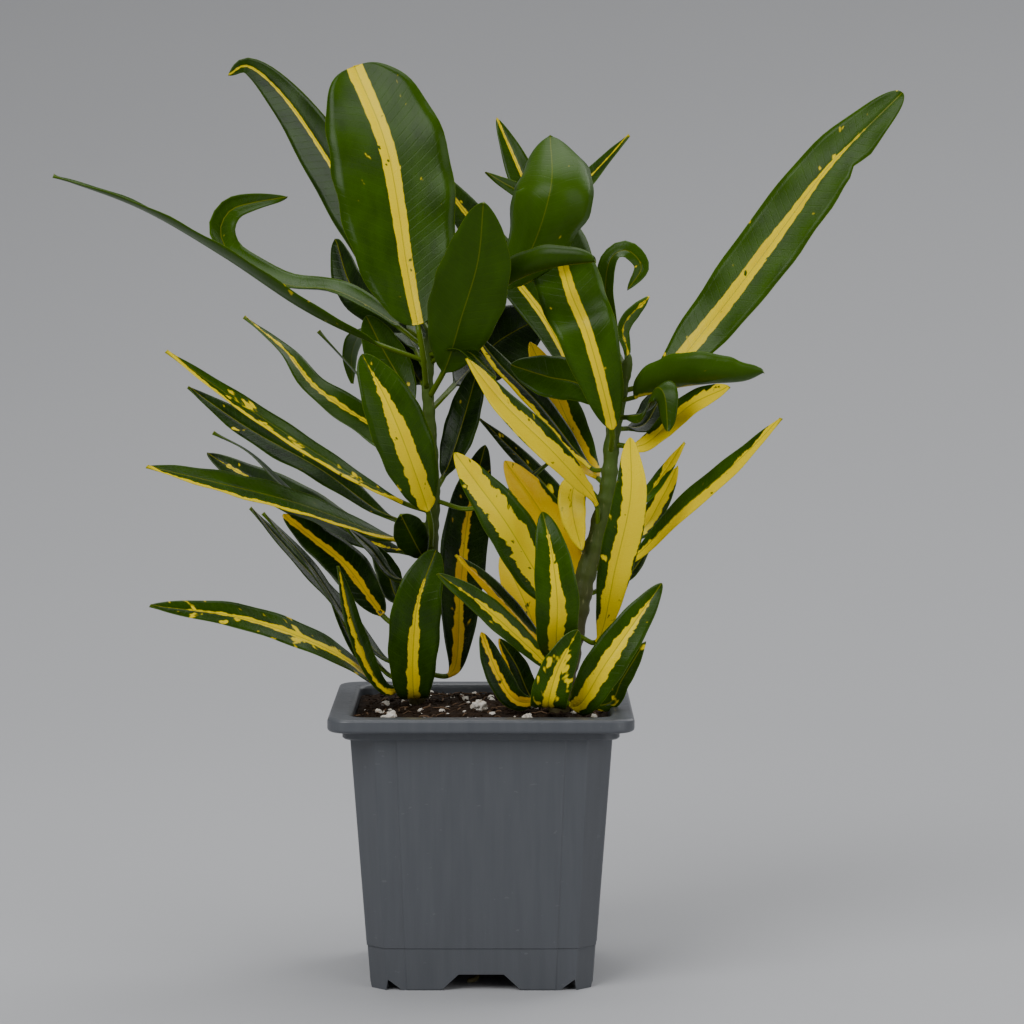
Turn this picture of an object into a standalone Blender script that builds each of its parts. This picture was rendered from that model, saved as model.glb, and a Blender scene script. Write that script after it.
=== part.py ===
"""A croton house plant with narrow yellow-banded leaves, growing in a square nursery pot.

The part stands on the pot's feet at z = 0, with the pot's centre on the Z axis and its front
towards -Y. Sizes are in metres, apart from the leaf tables, which are in millimetres.
Pieces: the pot, the soil, a root that hangs through a drain hole, three grains of perlite, two
woody stems, and the leaves, each with its own petiole.
"""

import math
from collections import namedtuple

import bmesh
import bpy
import numpy as np
from mathutils import Vector, noise

MM = 0.001
GAP = 0.0003

# Driving dimensions of the pot: a 105 mm square nursery pot, 96 mm tall.
RIM_HALF = 0.0525
RIM_TOP = 0.096
LIP_HEIGHT = 0.005
COLLAR_HALF = 0.0475
COLLAR_HEIGHT = 0.003
BODY_TOP_HALF = 0.0455
BASE_HALF = 0.0390
FOOT_BAND_HEIGHT = 0.015
FOOT_BAND_INSET = 0.0003
WALL = 0.0013
SKIRT_WALL = 0.0026
FLOOR_LOW = 0.0060
FLOOR_TOP = 0.0076
RIM_CORNER = 0.0080
PANEL_HALF_TOP = 0.0290
PANEL_HALF_BASE = 0.0255
PANEL_STEP = 0.0004
CHAMFER_TOP = 0.0088
CHAMFER_BASE = 0.0058
CORNER_STEPS = 4
DRAIN_RADIUS = 0.0048
DRAIN_REACH = 0.0270
ARCH_HEIGHT = 0.0060
ARCH_FOOT_HALF = 0.0140
ARCH_TOP_HALF = 0.0078
NICK_HEIGHT = 0.0038
NICK_FROM = 0.0272
NICK_PEAK = 0.0322

SOIL_EDGE = 0.0915
SOIL_CROWN = 0.0945
STEM_SINK = 0.0120

# The two stems: (x, y, z) of the axis from the foot in the soil to the tip, in millimetres.
STEM_ROUTES = {
    "left": ((-23, 6, 84), (-23, 6, 96), (-19, 4, 125), (-18, 2, 150), (-17, 0, 170),
             (-18, 0, 190), (-19, 1, 208), (-18, 2, 228)),
    "right": ((27, -14, 84), (27, -14, 96), (33, -10, 124), (36, -7, 139), (39, -5, 150),
              (44, -3, 170), (46, -1, 190), (49, 0, 206), (52, 1, 218)),
}
STEM_RADII = {"left": (0.0028, 0.0017), "right": (0.0040, 0.0020)}

PETIOLE_WIDTH = 0.0020
PETIOLE_THICKNESS = 0.0016
BLADE_THICKNESS = 0.0006
PETIOLE_STATIONS = 3
BLADE_STATIONS = 9

# A leaf. number: part of its name. height: where its petiole leaves the stem. route: the midrib
# to the tip. width: the widest place. face: where the upper side looks halfway along. twist:
# degrees from foot to tip. cup: degrees from the midrib's face to each margin's. petiole: its
# share of the length. blunt: lower is blunter. peak: the widest place along the blade.
Leaf = namedtuple("Leaf", "number height route width face twist cup petiole blunt peak")
Leaf.__new__.__defaults__ = (0, 10, 0.12, 0.6, 0.5)

# The root that shows at the front drain hole, and the grains of perlite: x, y and radius.
ROOT_ROUTE = ((-1, -26, 7.5), (-1, -27, 5), (-2, -30, 2.5), (-5, -32, 2))
ROOT_RADII = (0.0012, 0.0008)
PERLITE = ((-1, -16, 2.4), (-32, -34, 2.0), (16, -34, 1.8))

LEFT_LEAVES = (
    Leaf(3, 226, ((-28, 28, 240), (-50, 56, 276), (-71, 72, 307), (-86, 78, 321), (-94, 76, 318)),
         20, (-0.5, -0.6, 0.6), cup=15, petiole=0.1, peak=0.4),
    Leaf(12, 222, ((-4, 38, 229), (17, 62, 257), (38, 76, 279), (54, 80, 296)),
         13, (-0.5, -0.7, 0.5), cup=15, petiole=0.2, blunt=0.7),
    Leaf(8, 221, ((-5, 2, 222), (6, -3, 238), (17, -12, 254), (24, -18, 276), (24, 3, 294)),
         34, (0, 0.95, -0.3), cup=60, petiole=0.35, blunt=0.4, peak=0.6),
    Leaf(2, 220, ((-36, 10, 232), (-52, 16, 240), (-70, 24, 242), (-88, 30, 251), (-94, 34, 260),
                 (-91, 38, 268), (-83, 44, 271), (-71, 52, 273)),
         14, (0.1, -0.35, 0.95), cup=35, petiole=0.1, peak=0.4),
    Leaf(1, 216, ((-42, -2, 224), (-63, -10, 235), (-89, -22, 253), (-116, -32, 269), (-145, -38, 280)),
         17, (0.45, 0.2, 0.9), twist=-30, cup=28, peak=0.45),
    Leaf(9, 215, ((-3, -9, 230), (9, -21, 243), (24, -31, 249), (39, -37, 251)),
         20, (0, 0.2, 1), cup=130, petiole=0.3, blunt=0.4, peak=0.55),
    Leaf(4, 206, ((-21, -8, 222), (-26, -2, 248), (-33, 6, 289), (-45, 18, 319)),
         42, (0, -1, 0.1), petiole=0.2, blunt=0.36, peak=0.56),
    Leaf(7, 203, ((-12, -10, 215), (-7, -20, 231), (-1, -32, 251), (1, -42, 271)),
         26, (0.1, 1, 0.2), cup=-12, petiole=0.15),
    Leaf(45, 198, ((-5, 34, 211), (6, 50, 221), (21, 62, 229)),
         24, (0.1, -1, 0.1), petiole=0.3, blunt=0.5, peak=0.6),
    Leaf(51, 190, ((-23, 6, 196), (-28, 11, 207), (-35, 14, 219), (-41, 14, 231)),
         14, (-0.2, -1, 0.2), petiole=0.25, blunt=0.55, peak=0.55),
    Leaf(54, 183, ((-25, 10, 182), (-40, 22, 192), (-60, 30, 205), (-71, 34, 218), (-86, 38, 230)),
         14, (0.3, -0.7, 0.6), twist=70, petiole=0.1, blunt=0.7, peak=0.35),
    Leaf(71, 170, ((-12, 10, 178), (-7, 14, 193), (-1, 16, 214)), 13, (-0.4, -0.9, 0.2), petiole=0.15),
    Leaf(55, 163, ((-30, -12, 168), (-52, -26, 182), (-82, -40, 203), (-106, -50, 221)),
         12, (0.35, -0.5, 0.8), blunt=0.75),
    Leaf(56, 158, ((-34, 4, 161), (-57, 8, 177), (-82, 10, 191), (-104, 10, 206)),
         15, (0.3, -0.6, 0.75), blunt=0.75),
    Leaf(58, 153, ((-44, 24, 152), (-70, 40, 167), (-85, 50, 180), (-99, 58, 187)),
         9, (0.3, 0.1, 0.9), petiole=0.15, blunt=0.7),
    Leaf(50, 150, ((-18, -12, 161), (-24, -22, 181), (-32, -26, 202), (-41, -24, 219)),
         20, (0.15, -1, 0.15), petiole=0.25, blunt=0.55),
    Leaf(60, 149, ((-34, -10, 155), (-62, -34, 168), (-88, -58, 177), (-110, -79, 184)),
         15, (0.15, -0.6, 0.8), cup=12, petiole=0.1, blunt=0.7),
    Leaf(59, 146, ((-41, 36, 149), (-71, 62, 163), (-90, 74, 171), (-103, 79, 178)),
         14, (-0.1, -0.75, 0.65), peak=0.6),
    Leaf(62, 119, ((-34, 14, 123), (-48, 26, 140), (-59, 30, 149), (-72, 32, 159)),
         16, (0.35, -0.8, 0.5), petiole=0.25, peak=0.45),
    Leaf(61, 112, ((-35, 20, 108), (-52, 36, 126), (-67, 44, 141), (-85, 50, 160)),
         9, (0.5, -0.4, 0.7), blunt=0.7),
    Leaf(57, 106, ((-33, 6, 104), (-47, 12, 121), (-61, 14, 142), (-78, 14, 161)),
         8, (0.6, -0.3, 0.7), blunt=0.7),
    Leaf(36, 104, ((-10, 16, 105), (-8, 28, 132), (-5, 34, 160), (1, 34, 184)),
         17, (0.1, -1, 0.1), petiole=0.1, peak=0.55),
    Leaf(65, 103, ((-34, -8, 101), (-43, -14, 119), (-50, -16, 145)), 8, (0.5, -0.7, 0.3), blunt=0.7),
    Leaf(66, 100, ((-34, 2, 100), (-53, -26, 117), (-81, -46, 130), (-111, -62, 136)),
         14, (0.15, -0.65, 0.75), petiole=0.1),
    Leaf(67, 96, ((-24, -6, 99), (-24, -12, 114), (-22, -15, 133), (-16, -10, 150)),
         18, (0, -1, 0), petiole=0.05, blunt=0.45),
)

RIGHT_LEAVES = (
    Leaf(15, 211, ((46, 16, 226), (44, 28, 240), (46, 32, 251), (52, 33, 254), (57, 32, 248), (52, 28, 240)),
         9, (-0.6, -0.3, 0.7), cup=20, petiole=0.1),
    Leaf(10, 204, ((38, 26, 223), (24, 46, 258), (5, 66, 302)),
         14, (0.1, -1, 0.2), petiole=0.15, blunt=0.65),
    Leaf(17, 205, ((64, 2, 210), (78, 4, 226), (92, 2, 244), (106, 0, 263), (119, -2, 281), (130, -4, 293),
                  (146, -8, 309)),
         23, (-0.4, -0.9, 0.25), cup=12, petiole=0.06, blunt=0.45),
    Leaf(18, 202, ((66, -14, 207), (78, -22, 209), (90, -26, 210), (97, -28, 213)),
         30, (0.1, 0.1, 1), cup=95, petiole=0.1, blunt=0.5, peak=0.5),
    Leaf(13, 199, ((34, 16, 210), (22, 32, 230), (8, 42, 248), (-6, 52, 267), (-23, 60, 288)),
         15, (0.2, -0.9, 0.4), blunt=0.65),
    Leaf(46, 197, ((35, 4, 207), (23, 4, 210), (10, 6, 214)), 17, (0, -0.9, 0.5), cup=12, petiole=0.1),
    Leaf(21, 196, ((56, -18, 198), (60, -28, 207), (63, -33, 205), (64, -35, 193)),
         10, (0.6, -0.7, 0.3), cup=30, petiole=0.1, blunt=0.5, peak=0.6),
    Leaf(19, 186, ((57, -8, 187), (72, -20, 201), (85, -30, 208)),
         11, (-0.4, -0.75, 0.6), cup=12, petiole=0.1, blunt=0.55),
    Leaf(14, 184, ((45, -12, 195), (37, -18, 225), (31, -8, 240), (26, 7, 257), (18, 22, 273)),
         23, (-0.1, -1, 0.3), petiole=0.1, blunt=0.45, peak=0.55),
    Leaf(43, 177, ((37, 6, 179), (21, 14, 199), (6, 20, 214), (-4, 24, 226)),
         10, (0.4, -0.7, 0.6), petiole=0.1, blunt=0.7),
    Leaf(47, 172, ((37, 14, 179), (28, 26, 199), (17, 34, 221)), 13, (0.2, -1, 0.2), petiole=0.1),
    Leaf(48, 167, ((36, -2, 172), (32, -6, 171), (32, -10, 162), (35, -12, 150)),
         10, (-0.2, -1, 0.2), petiole=0.1, peak=0.4),
    Leaf(42, 159, ((39, -12, 168), (25, -24, 185), (8, -32, 202), (-5, -36, 218)),
         12, (0.3, -0.85, 0.5), petiole=0.1, blunt=0.7),
    Leaf(29, 151, ((56, 8, 155), (64, 18, 166), (70, 24, 177)),
         8, (-0.3, -0.9, 0.3), petiole=0.1, blunt=0.65),
    Leaf(26, 143, ((52, -8, 146), (69, -22, 165), (87, -34, 182), (102, -44, 198)),
         10, (-0.45, -0.7, 0.55), petiole=0.08, blunt=0.7),
    Leaf(41, 141, ((34, 14, 148), (28, 26, 163), (15, 34, 178), (-1, 40, 193)),
         9, (0.4, -0.8, 0.4), petiole=0.1, blunt=0.7),
    Leaf(40, 136, ((31, 0, 146), (19, 6, 165), (8, 8, 180)), 15, (0.3, -0.9, 0.3), petiole=0.1),
    Leaf(34, 129, ((22, -24, 139), (9, -34, 161), (-1, -38, 175), (-9, -40, 186)),
         17, (0.25, -1, 0.2), petiole=0.1, peak=0.45),
    Leaf(25, 120, ((41, -19, 120), (46, -31, 145), (51, -38, 170), (51, -36, 191)),
         13, (-0.15, -1, 0.1), petiole=0.1, blunt=0.55, peak=0.55),
    Leaf(39, 114, ((22, -4, 115), (15, -1, 131), (7, 2, 148)), 13, (0.2, -1, 0.2), petiole=0.15),
    Leaf(33, 113, ((26, -34, 118), (26, -46, 136), (24, -46, 153), (21, -42, 166)),
         15, (0, -1, 0.05), petiole=0.1, blunt=0.55),
    Leaf(37, 110, ((17, -12, 122), (3, -16, 138), (-9, -18, 149)),
         8, (0.4, -0.7, 0.6), petiole=0.1, blunt=0.7),
    Leaf(38, 105, ((19, -24, 115), (0, -30, 133), (-15, -34, 144)), 10, (0.3, -0.8, 0.5), petiole=0.1),
    Leaf(30, 98, ((34, -34, 99), (43, -39, 114), (62, -36, 141)),
         14, (-0.15, -1, 0.2), petiole=0.15, peak=0.45),
    Leaf(32, 100, ((23, -40, 99), (26, -46, 112), (33, -46, 126)),
         13, (0, -1, 0.1), petiole=0.15, blunt=0.5),
    Leaf(68, 99, ((13, -27, 99), (6, -28, 108), (0, -26, 123)), 9, (0.2, -1, 0.1), petiole=0.2),
)

LEAVES = {"left": LEFT_LEAVES, "right": RIGHT_LEAVES}


def fresh_collection(name):
    """Empty the file and return a new collection in the scene."""
    for item in list(bpy.data.objects):
        bpy.data.objects.remove(item, do_unlink=True)
    made = bpy.data.collections.new(name)
    bpy.context.scene.collection.children.link(made)
    return made


def plain_material(name, colour, roughness, metallic=0.0):
    """A Principled material with one colour."""
    made = bpy.data.materials.new(name)
    made.use_nodes = True
    shader = made.node_tree.nodes["Principled BSDF"]
    shader.inputs["Base Color"].default_value = (*colour, 1.0)
    shader.inputs["Roughness"].default_value = roughness
    shader.inputs["Metallic"].default_value = metallic
    return made


def add_object(name, mesh, collection, material=None):
    made = bpy.data.objects.new(name, mesh)
    collection.objects.link(made)
    if material:
        mesh.materials.append(material)
    return made


# ---------------------------------------------------------------- curves through given points


def smooth_route(points, fractions):
    """Positions at the given fractions of the length of a Catmull-Rom curve through the points."""
    knots = np.asarray(points, float)
    knots = np.vstack([2 * knots[0] - knots[1], knots, 2 * knots[-1] - knots[-2]])
    t = np.linspace(0, 1, 24, endpoint=False)[:, None]
    dense = []
    for a, b, c, d in zip(knots, knots[1:], knots[2:], knots[3:]):
        dense.append(0.5 * (2 * b + (c - a) * t + (2 * a - 5 * b + 4 * c - d) * t**2
                            + (3 * b - a - 3 * c + d) * t**3))
    dense = np.vstack(dense + [knots[-2][None]])
    travelled = np.concatenate([[0], np.cumsum(np.linalg.norm(np.diff(dense, axis=0), axis=1))])
    wanted = np.asarray(fractions) * travelled[-1]
    return np.stack([np.interp(wanted, travelled, dense[:, axis]) for axis in range(3)], axis=1)


def stem_axis(side, height):
    """The point of a stem's axis at a height, and the stem's radius there."""
    fractions = np.linspace(0, 1, 200)
    axis = smooth_route(np.array(STEM_ROUTES[side]) * MM, fractions)
    nearest = int(np.abs(axis[:, 2] - height).argmin())
    low, high = STEM_RADII[side]
    return axis[nearest], low + (high - low) * fractions[nearest]


# ---------------------------------------------------------------- leaves


def leaf_route(leaf, side):
    """The midrib's points in metres, from the petiole's foot just outside the stem to the tip."""
    route = np.array(leaf.route, float) * MM
    axis, radius = stem_axis(side, leaf.height * MM)
    outward = route[0] - axis
    steepness = abs(outward[2]) / np.linalg.norm(outward)
    outward[2] = 0
    outward /= np.linalg.norm(outward)
    foot = axis + outward * (radius + GAP + steepness * PETIOLE_THICKNESS / 2)
    return np.vstack([foot, route])


def blade_half_width(leaf, u):
    """Half the blade's width at u, from 0 at its base to 1 at its tip."""
    skew = math.log(0.5) / math.log(leaf.peak)
    return leaf.width * MM / 2 * math.sin(math.pi * min(u, 0.995) ** skew) ** leaf.blunt


def leaf_frames(positions, face, twist):
    """Side and up directions along a route, carried without roll from its middle, then twisted."""
    tangents = np.gradient(positions, axis=0)
    tangents /= np.linalg.norm(tangents, axis=1)[:, None]
    middle = len(positions) // 2
    up = np.zeros_like(positions)
    up[middle] = face
    order = [(i, i - 1) for i in range(middle + 1, len(positions))]
    order = [(middle, middle)] + order + [(i, i + 1) for i in range(middle - 1, -1, -1)]
    for here, before in order:
        carried = up[before] - tangents[here] * (up[before] @ tangents[here])
        up[here] = carried / np.linalg.norm(carried)
    turn = np.radians(twist) * (np.linspace(0, 1, len(positions)) - 0.5)[:, None]
    side = np.cross(tangents, up)
    up = up * np.cos(turn) + side * np.sin(turn)
    return np.cross(tangents, up), up


def leaf_stations(leaf):
    """Fractions of the length: a few along the petiole, then closer ones towards the tip."""
    stalk = np.linspace(0, leaf.petiole, PETIOLE_STATIONS, endpoint=False)
    blade = np.linspace(0, 1, BLADE_STATIONS) ** 0.9
    return np.concatenate([stalk, leaf.petiole + (1 - leaf.petiole) * blade])


def add_leaf(name, leaf, side, collection, material):
    """One leaf: a grid bent along its midrib and given a thickness, more at the petiole."""
    stations = leaf_stations(leaf)
    positions = smooth_route(leaf_route(leaf, side), stations)
    across, up = leaf_frames(positions, leaf.face, leaf.twist)
    columns = 2 if abs(leaf.cup) < 40 else 6
    shape = bmesh.new()
    bmesh.ops.create_grid(shape, x_segments=columns, y_segments=len(stations) - 1, size=0.5)
    stalk_part = shape.verts.layers.deform.verify()
    rows = len(stations) - 1
    for vertex in shape.verts:
        row = round((vertex.co.y + 0.5) * rows)
        v = 2 * vertex.co.x
        u = (stations[row] - leaf.petiole) / (1 - leaf.petiole)
        half = max(PETIOLE_WIDTH / 2, blade_half_width(leaf, max(u, 0.0)))
        if row == rows:
            half = PETIOLE_WIDTH / 5
        bend = math.radians(leaf.cup) if half > PETIOLE_WIDTH / 2 else math.radians(10)
        reach = half * math.sin(bend * v) / bend
        lift = half * (1 - math.cos(bend * v)) / bend
        vertex.co = positions[row] + across[row] * reach + up[row] * lift
        vertex[stalk_part][0] = 1.0 if u < 0 else 0.0
    mesh = bpy.data.meshes.new(name)
    shape.to_mesh(mesh)
    shape.free()
    mesh.shade_smooth()
    made = add_object(name, mesh, collection, material)
    made.vertex_groups.new(name="petiole")
    skin = made.modifiers.new("thickness", "SOLIDIFY")
    skin.thickness = PETIOLE_THICKNESS
    skin.offset = 0.0
    skin.vertex_group = "petiole"
    skin.thickness_vertex_group = BLADE_THICKNESS / PETIOLE_THICKNESS
    return made


# ---------------------------------------------------------------- stems and root


def add_tube(name, points, radii, collection, material):
    """A round solid along a smooth route, tapering from the first radius to the second."""
    steps = 2 * len(points)
    positions = smooth_route(np.array(points) * MM, np.linspace(0, 1, steps))
    curve = bpy.data.curves.new(name, "CURVE")
    curve.dimensions = "3D"
    curve.bevel_depth = 1.0
    curve.bevel_resolution = 2
    curve.use_fill_caps = True
    spline = curve.splines.new("POLY")
    spline.points.add(steps - 1)
    for index, position in enumerate(positions):
        spline.points[index].co = (*position, 1.0)
        spline.points[index].radius = radii[0] + (radii[1] - radii[0]) * index / (steps - 1)
    made = bpy.data.objects.new(name, curve)
    collection.objects.link(made)
    curve.materials.append(material)
    return made


# ---------------------------------------------------------------- pot and soil


def wall_half(z):
    """Half the pot's width outside, at a height on its tapered wall."""
    share = z / (RIM_TOP - LIP_HEIGHT - COLLAR_HEIGHT)
    inset = FOOT_BAND_INSET if z < FOOT_BAND_HEIGHT else 0.0
    return BASE_HALF + (BODY_TOP_HALF - BASE_HALF) * share - inset


def round_corner(half, radius):
    """The corner arc at +X, -Y, and the side's points without any panel step."""
    return half, radius, True, half * 0.6, 0.0


def panelled(z, inset=0.0):
    """A wall section with flat corner panels and a raised middle panel, drawn in by inset."""
    share = min(z / RIM_TOP, 1.0)
    cut = CHAMFER_BASE + (CHAMFER_TOP - CHAMFER_BASE) * share
    panel = PANEL_HALF_BASE + (PANEL_HALF_TOP - PANEL_HALF_BASE) * share
    step = PANEL_STEP if inset == 0.0 else 0.0
    return wall_half(z) - inset, cut, False, panel, step


def section_points(half, cut, rounded, panel, step, z):
    """One closed section of the pot: four equal sides, each with its corner and its panel."""
    edge = half - step
    corner = []
    for k in range(CORNER_STEPS + 1):
        share = k / CORNER_STEPS
        if rounded:
            angle = math.radians(-90 + 90 * share)
            corner.append((edge - cut + cut * math.cos(angle), -edge + cut + cut * math.sin(angle)))
        else:
            corner.append((edge - cut + cut * share, -edge + cut * share))
    ledge = max(step, 0.0002)
    side = [(-panel - ledge, -edge), (-panel, -half), (panel, -half), (panel + ledge, -edge)]
    points = []
    for quarter in range(4):
        c, s = round(math.cos(math.pi / 2 * quarter)), round(math.sin(math.pi / 2 * quarter))
        for x, y in side + corner:
            points.append(Vector((x * c - y * s, x * s + y * c, z)))
    return points


def loft(name, sections, collection, material):
    """A closed solid through sections with equal counts of points, from one flat end to another."""
    shape = bmesh.new()
    rings = [[shape.verts.new(point) for point in section] for section in sections]
    for low, high in zip(rings, rings[1:]):
        for k in range(len(low)):
            following = (k + 1) % len(low)
            shape.faces.new((low[k], low[following], high[following], high[k]))
    shape.faces.new(list(reversed(rings[0])))
    shape.faces.new(rings[-1])
    bmesh.ops.recalc_face_normals(shape, faces=shape.faces)
    mesh = bpy.data.meshes.new(name)
    shape.to_mesh(mesh)
    shape.free()
    return add_object(name, mesh, collection, material)


def pot_sections():
    """The pot's skin, from the middle of the floor's underside, round the wall, to the floor's top."""
    lip_low = RIM_TOP - LIP_HEIGHT
    body_top = lip_low - COLLAR_HEIGHT
    inner_top = wall_half(lip_low) - WALL
    return [
        (*panelled(FLOOR_LOW, SKIRT_WALL), FLOOR_LOW),
        (*panelled(0, SKIRT_WALL), 0.0),
        (*panelled(0, 0.0004), 0.0),
        (*panelled(0.0006), 0.0006),
        (*panelled(FOOT_BAND_HEIGHT - 0.0003), FOOT_BAND_HEIGHT - 0.0003),
        (*panelled(FOOT_BAND_HEIGHT), FOOT_BAND_HEIGHT),
        (*panelled(body_top), body_top),
        (*round_corner(COLLAR_HALF, RIM_CORNER * 0.8), body_top + 0.0003),
        (*round_corner(COLLAR_HALF, RIM_CORNER * 0.8), lip_low),
        (*round_corner(RIM_HALF - 0.0012, RIM_CORNER), lip_low),
        (*round_corner(RIM_HALF - 0.0002, RIM_CORNER), lip_low + 0.0010),
        (*round_corner(RIM_HALF, RIM_CORNER), lip_low + 0.0028),
        (*round_corner(RIM_HALF - 0.0006, RIM_CORNER), RIM_TOP - 0.0008),
        (*round_corner(RIM_HALF - 0.0020, RIM_CORNER), RIM_TOP),
        (*round_corner(RIM_HALF - 0.0050, RIM_CORNER * 0.8), RIM_TOP - 0.0002),
        (*round_corner(inner_top + 0.0004, RIM_CORNER * 0.7), RIM_TOP - 0.0014),
        (*round_corner(inner_top, RIM_CORNER * 0.7), lip_low),
        (*panelled(body_top, WALL), body_top),
        (*panelled(FLOOR_TOP, WALL), FLOOR_TOP),
    ]


def prism(name, outline, lowest, length, collection):
    """A cutter: an outline of (x, z) points, drawn out along Y from y = lowest."""
    shape = bmesh.new()
    base = shape.faces.new([shape.verts.new((x, lowest, z)) for x, z in outline])
    drawn = bmesh.ops.extrude_face_region(shape, geom=[base])
    moved = [item for item in drawn["geom"] if isinstance(item, bmesh.types.BMVert)]
    bmesh.ops.translate(shape, verts=moved, vec=(0, length, 0))
    bmesh.ops.recalc_face_normals(shape, faces=shape.faces)
    mesh = bpy.data.meshes.new(name)
    shape.to_mesh(mesh)
    shape.free()
    made = add_object(name, mesh, collection)
    made.hide_render = True
    made.display_type = "WIRE"
    return made


def cylinder_cutter(name, centre, radius, depth, collection):
    shape = bmesh.new()
    bmesh.ops.create_cone(shape, cap_ends=True, segments=16, radius1=radius, radius2=radius,
                          depth=depth)
    bmesh.ops.translate(shape, verts=shape.verts, vec=centre)
    mesh = bpy.data.meshes.new(name)
    shape.to_mesh(mesh)
    shape.free()
    made = add_object(name, mesh, collection)
    made.hide_render = True
    made.display_type = "WIRE"
    return made


def subtract(target, cutter):
    cut = target.modifiers.new(cutter.name, "BOOLEAN")
    cut.operation = "DIFFERENCE"
    cut.object = cutter


def add_pot(collection, cutters, material):
    """The pot: a square tapered shell whose skirt has an arch and two nicks in each side."""
    pot = loft("pot", [section_points(*section) for section in pot_sections()],
               collection, material)
    below = -0.001
    arch = ((-ARCH_FOOT_HALF - 0.001, below), (ARCH_FOOT_HALF + 0.001, below),
            (ARCH_TOP_HALF, ARCH_HEIGHT - 0.0003), (-ARCH_TOP_HALF, ARCH_HEIGHT - 0.0003))
    nick = ((NICK_FROM - 0.0014, below), (NICK_PEAK + 0.0008, below), (NICK_PEAK, NICK_HEIGHT))
    mirrored = tuple((-x, z) for x, z in reversed(nick))
    outside = BASE_HALF + 0.004
    reach = SKIRT_WALL + 0.006
    for side in range(4):
        for label, outline in (("arch", arch), ("nick_a", nick), ("nick_b", mirrored)):
            cutter = prism(f"{label}_{side}", outline, -outside, reach, cutters)
            cutter.rotation_euler.z = math.pi / 2 * side
            subtract(pot, cutter)
        angle = math.pi / 2 * side
        centre = (DRAIN_REACH * math.sin(angle), -DRAIN_REACH * math.cos(angle), FLOOR_TOP)
        subtract(pot, cylinder_cutter(f"drain_{side}", centre, DRAIN_RADIUS, 0.006, cutters))
    subtract(pot, cylinder_cutter("drain_middle", (0, 0, FLOOR_TOP), DRAIN_RADIUS, 0.006, cutters))
    return pot


def soil_height(x, y):
    """The soil's surface: low at the wall, mounded in the middle, and slightly uneven."""
    inner = wall_half(SOIL_EDGE) - WALL
    edge = max(abs(x), abs(y)) / inner
    mound = SOIL_EDGE + (SOIL_CROWN - SOIL_EDGE) * math.cos(math.pi / 2 * min(edge, 1.0))
    return mound + 0.0006 * noise.noise(Vector((x, y, 0)) / 0.012)


def add_soil(collection, cutters, material):
    """The soil: it fills the pot, and has a pocket for each stem."""
    sections = []
    for z in (FLOOR_TOP + GAP, 0.050, SOIL_EDGE):
        half, cut, rounded, panel, _ = panelled(z, WALL + GAP)
        sections.append(section_points(half, cut, rounded, panel, 0.0, z))
    rim = sections[-1]
    for share in (0.8, 0.55, 0.3, 0.1):
        ring = [Vector((p.x * share, p.y * share, soil_height(p.x * share, p.y * share)))
                for p in rim]
        sections.append(ring)
    soil = loft("soil", sections, collection, material)
    for side, radii in STEM_RADII.items():
        x, y, z = np.array(STEM_ROUTES[side][0]) * MM
        pocket = cylinder_cutter(f"pocket_{side}", (x, y, z - GAP + STEM_SINK),
                                 radii[0] + 0.0007, 2 * STEM_SINK, cutters)
        subtract(soil, pocket)
    return soil


def add_perlite(name, x, y, radius, seed, collection, material):
    """A grain of perlite lying on the soil: an uneven lump."""
    shape = bmesh.new()
    bmesh.ops.create_icosphere(shape, subdivisions=1, radius=radius)
    for vertex in shape.verts:
        push = noise.noise(vertex.co / radius + Vector((seed, 0, 0)))
        vertex.co *= 1 + 0.35 * push
        vertex.co.z *= 0.8
    lowest = min(vertex.co.z for vertex in shape.verts)
    ground = max(soil_height(x + dx, y + dy) for dx in (-0.001, 0.001) for dy in (-0.001, 0.001))
    bmesh.ops.translate(shape, verts=shape.verts, vec=(x, y, ground + GAP - lowest))
    mesh = bpy.data.meshes.new(name)
    shape.to_mesh(mesh)
    shape.free()
    return add_object(name, mesh, collection, material)


def build():
    plant = fresh_collection("potted_croton")
    cutters = bpy.data.collections.new("cutters")
    bpy.context.scene.collection.children.link(cutters)
    plastic = plain_material("pot_plastic", (0.075, 0.085, 0.105), 0.5)
    soil = plain_material("soil", (0.045, 0.028, 0.018), 0.95)
    white = plain_material("perlite", (0.78, 0.75, 0.68), 0.9)
    bark = plain_material("stem", (0.09, 0.13, 0.02), 0.55)
    green = plain_material("leaf", (0.035, 0.12, 0.006), 0.35)

    add_pot(plant, cutters, plastic)
    add_soil(plant, cutters, soil)
    add_tube("root", ROOT_ROUTE, ROOT_RADII, plant, bark)
    for number, (x, y, radius) in enumerate(PERLITE, start=1):
        add_perlite(f"perlite_{number}", x * MM, y * MM, radius * MM, number, plant, white)
    for side in ("left", "right"):
        add_tube(f"stem_{side}", STEM_ROUTES[side], STEM_RADII[side], plant, bark)
        for leaf in LEAVES[side]:
            add_leaf(f"leaf_{side}_{leaf.number:02d}", leaf, side, plant, green)


build()
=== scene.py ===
"""The looks of the potted croton, built around its CAD part.

Every leaf, stem, grain and the pot are drawn again at a finer size, in the CAD's own frame and
from the same routes and sizes, and stand for their CAD nodes. The smallest leaves, the soil's
crumbs, grains and fibres are added here. Sizes are in metres, apart from the tables of routes
and yellow bands, which are in millimetres.
"""

import math
import random
from collections import namedtuple

import bmesh
import bpy
import numpy as np
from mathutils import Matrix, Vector, noise

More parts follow.
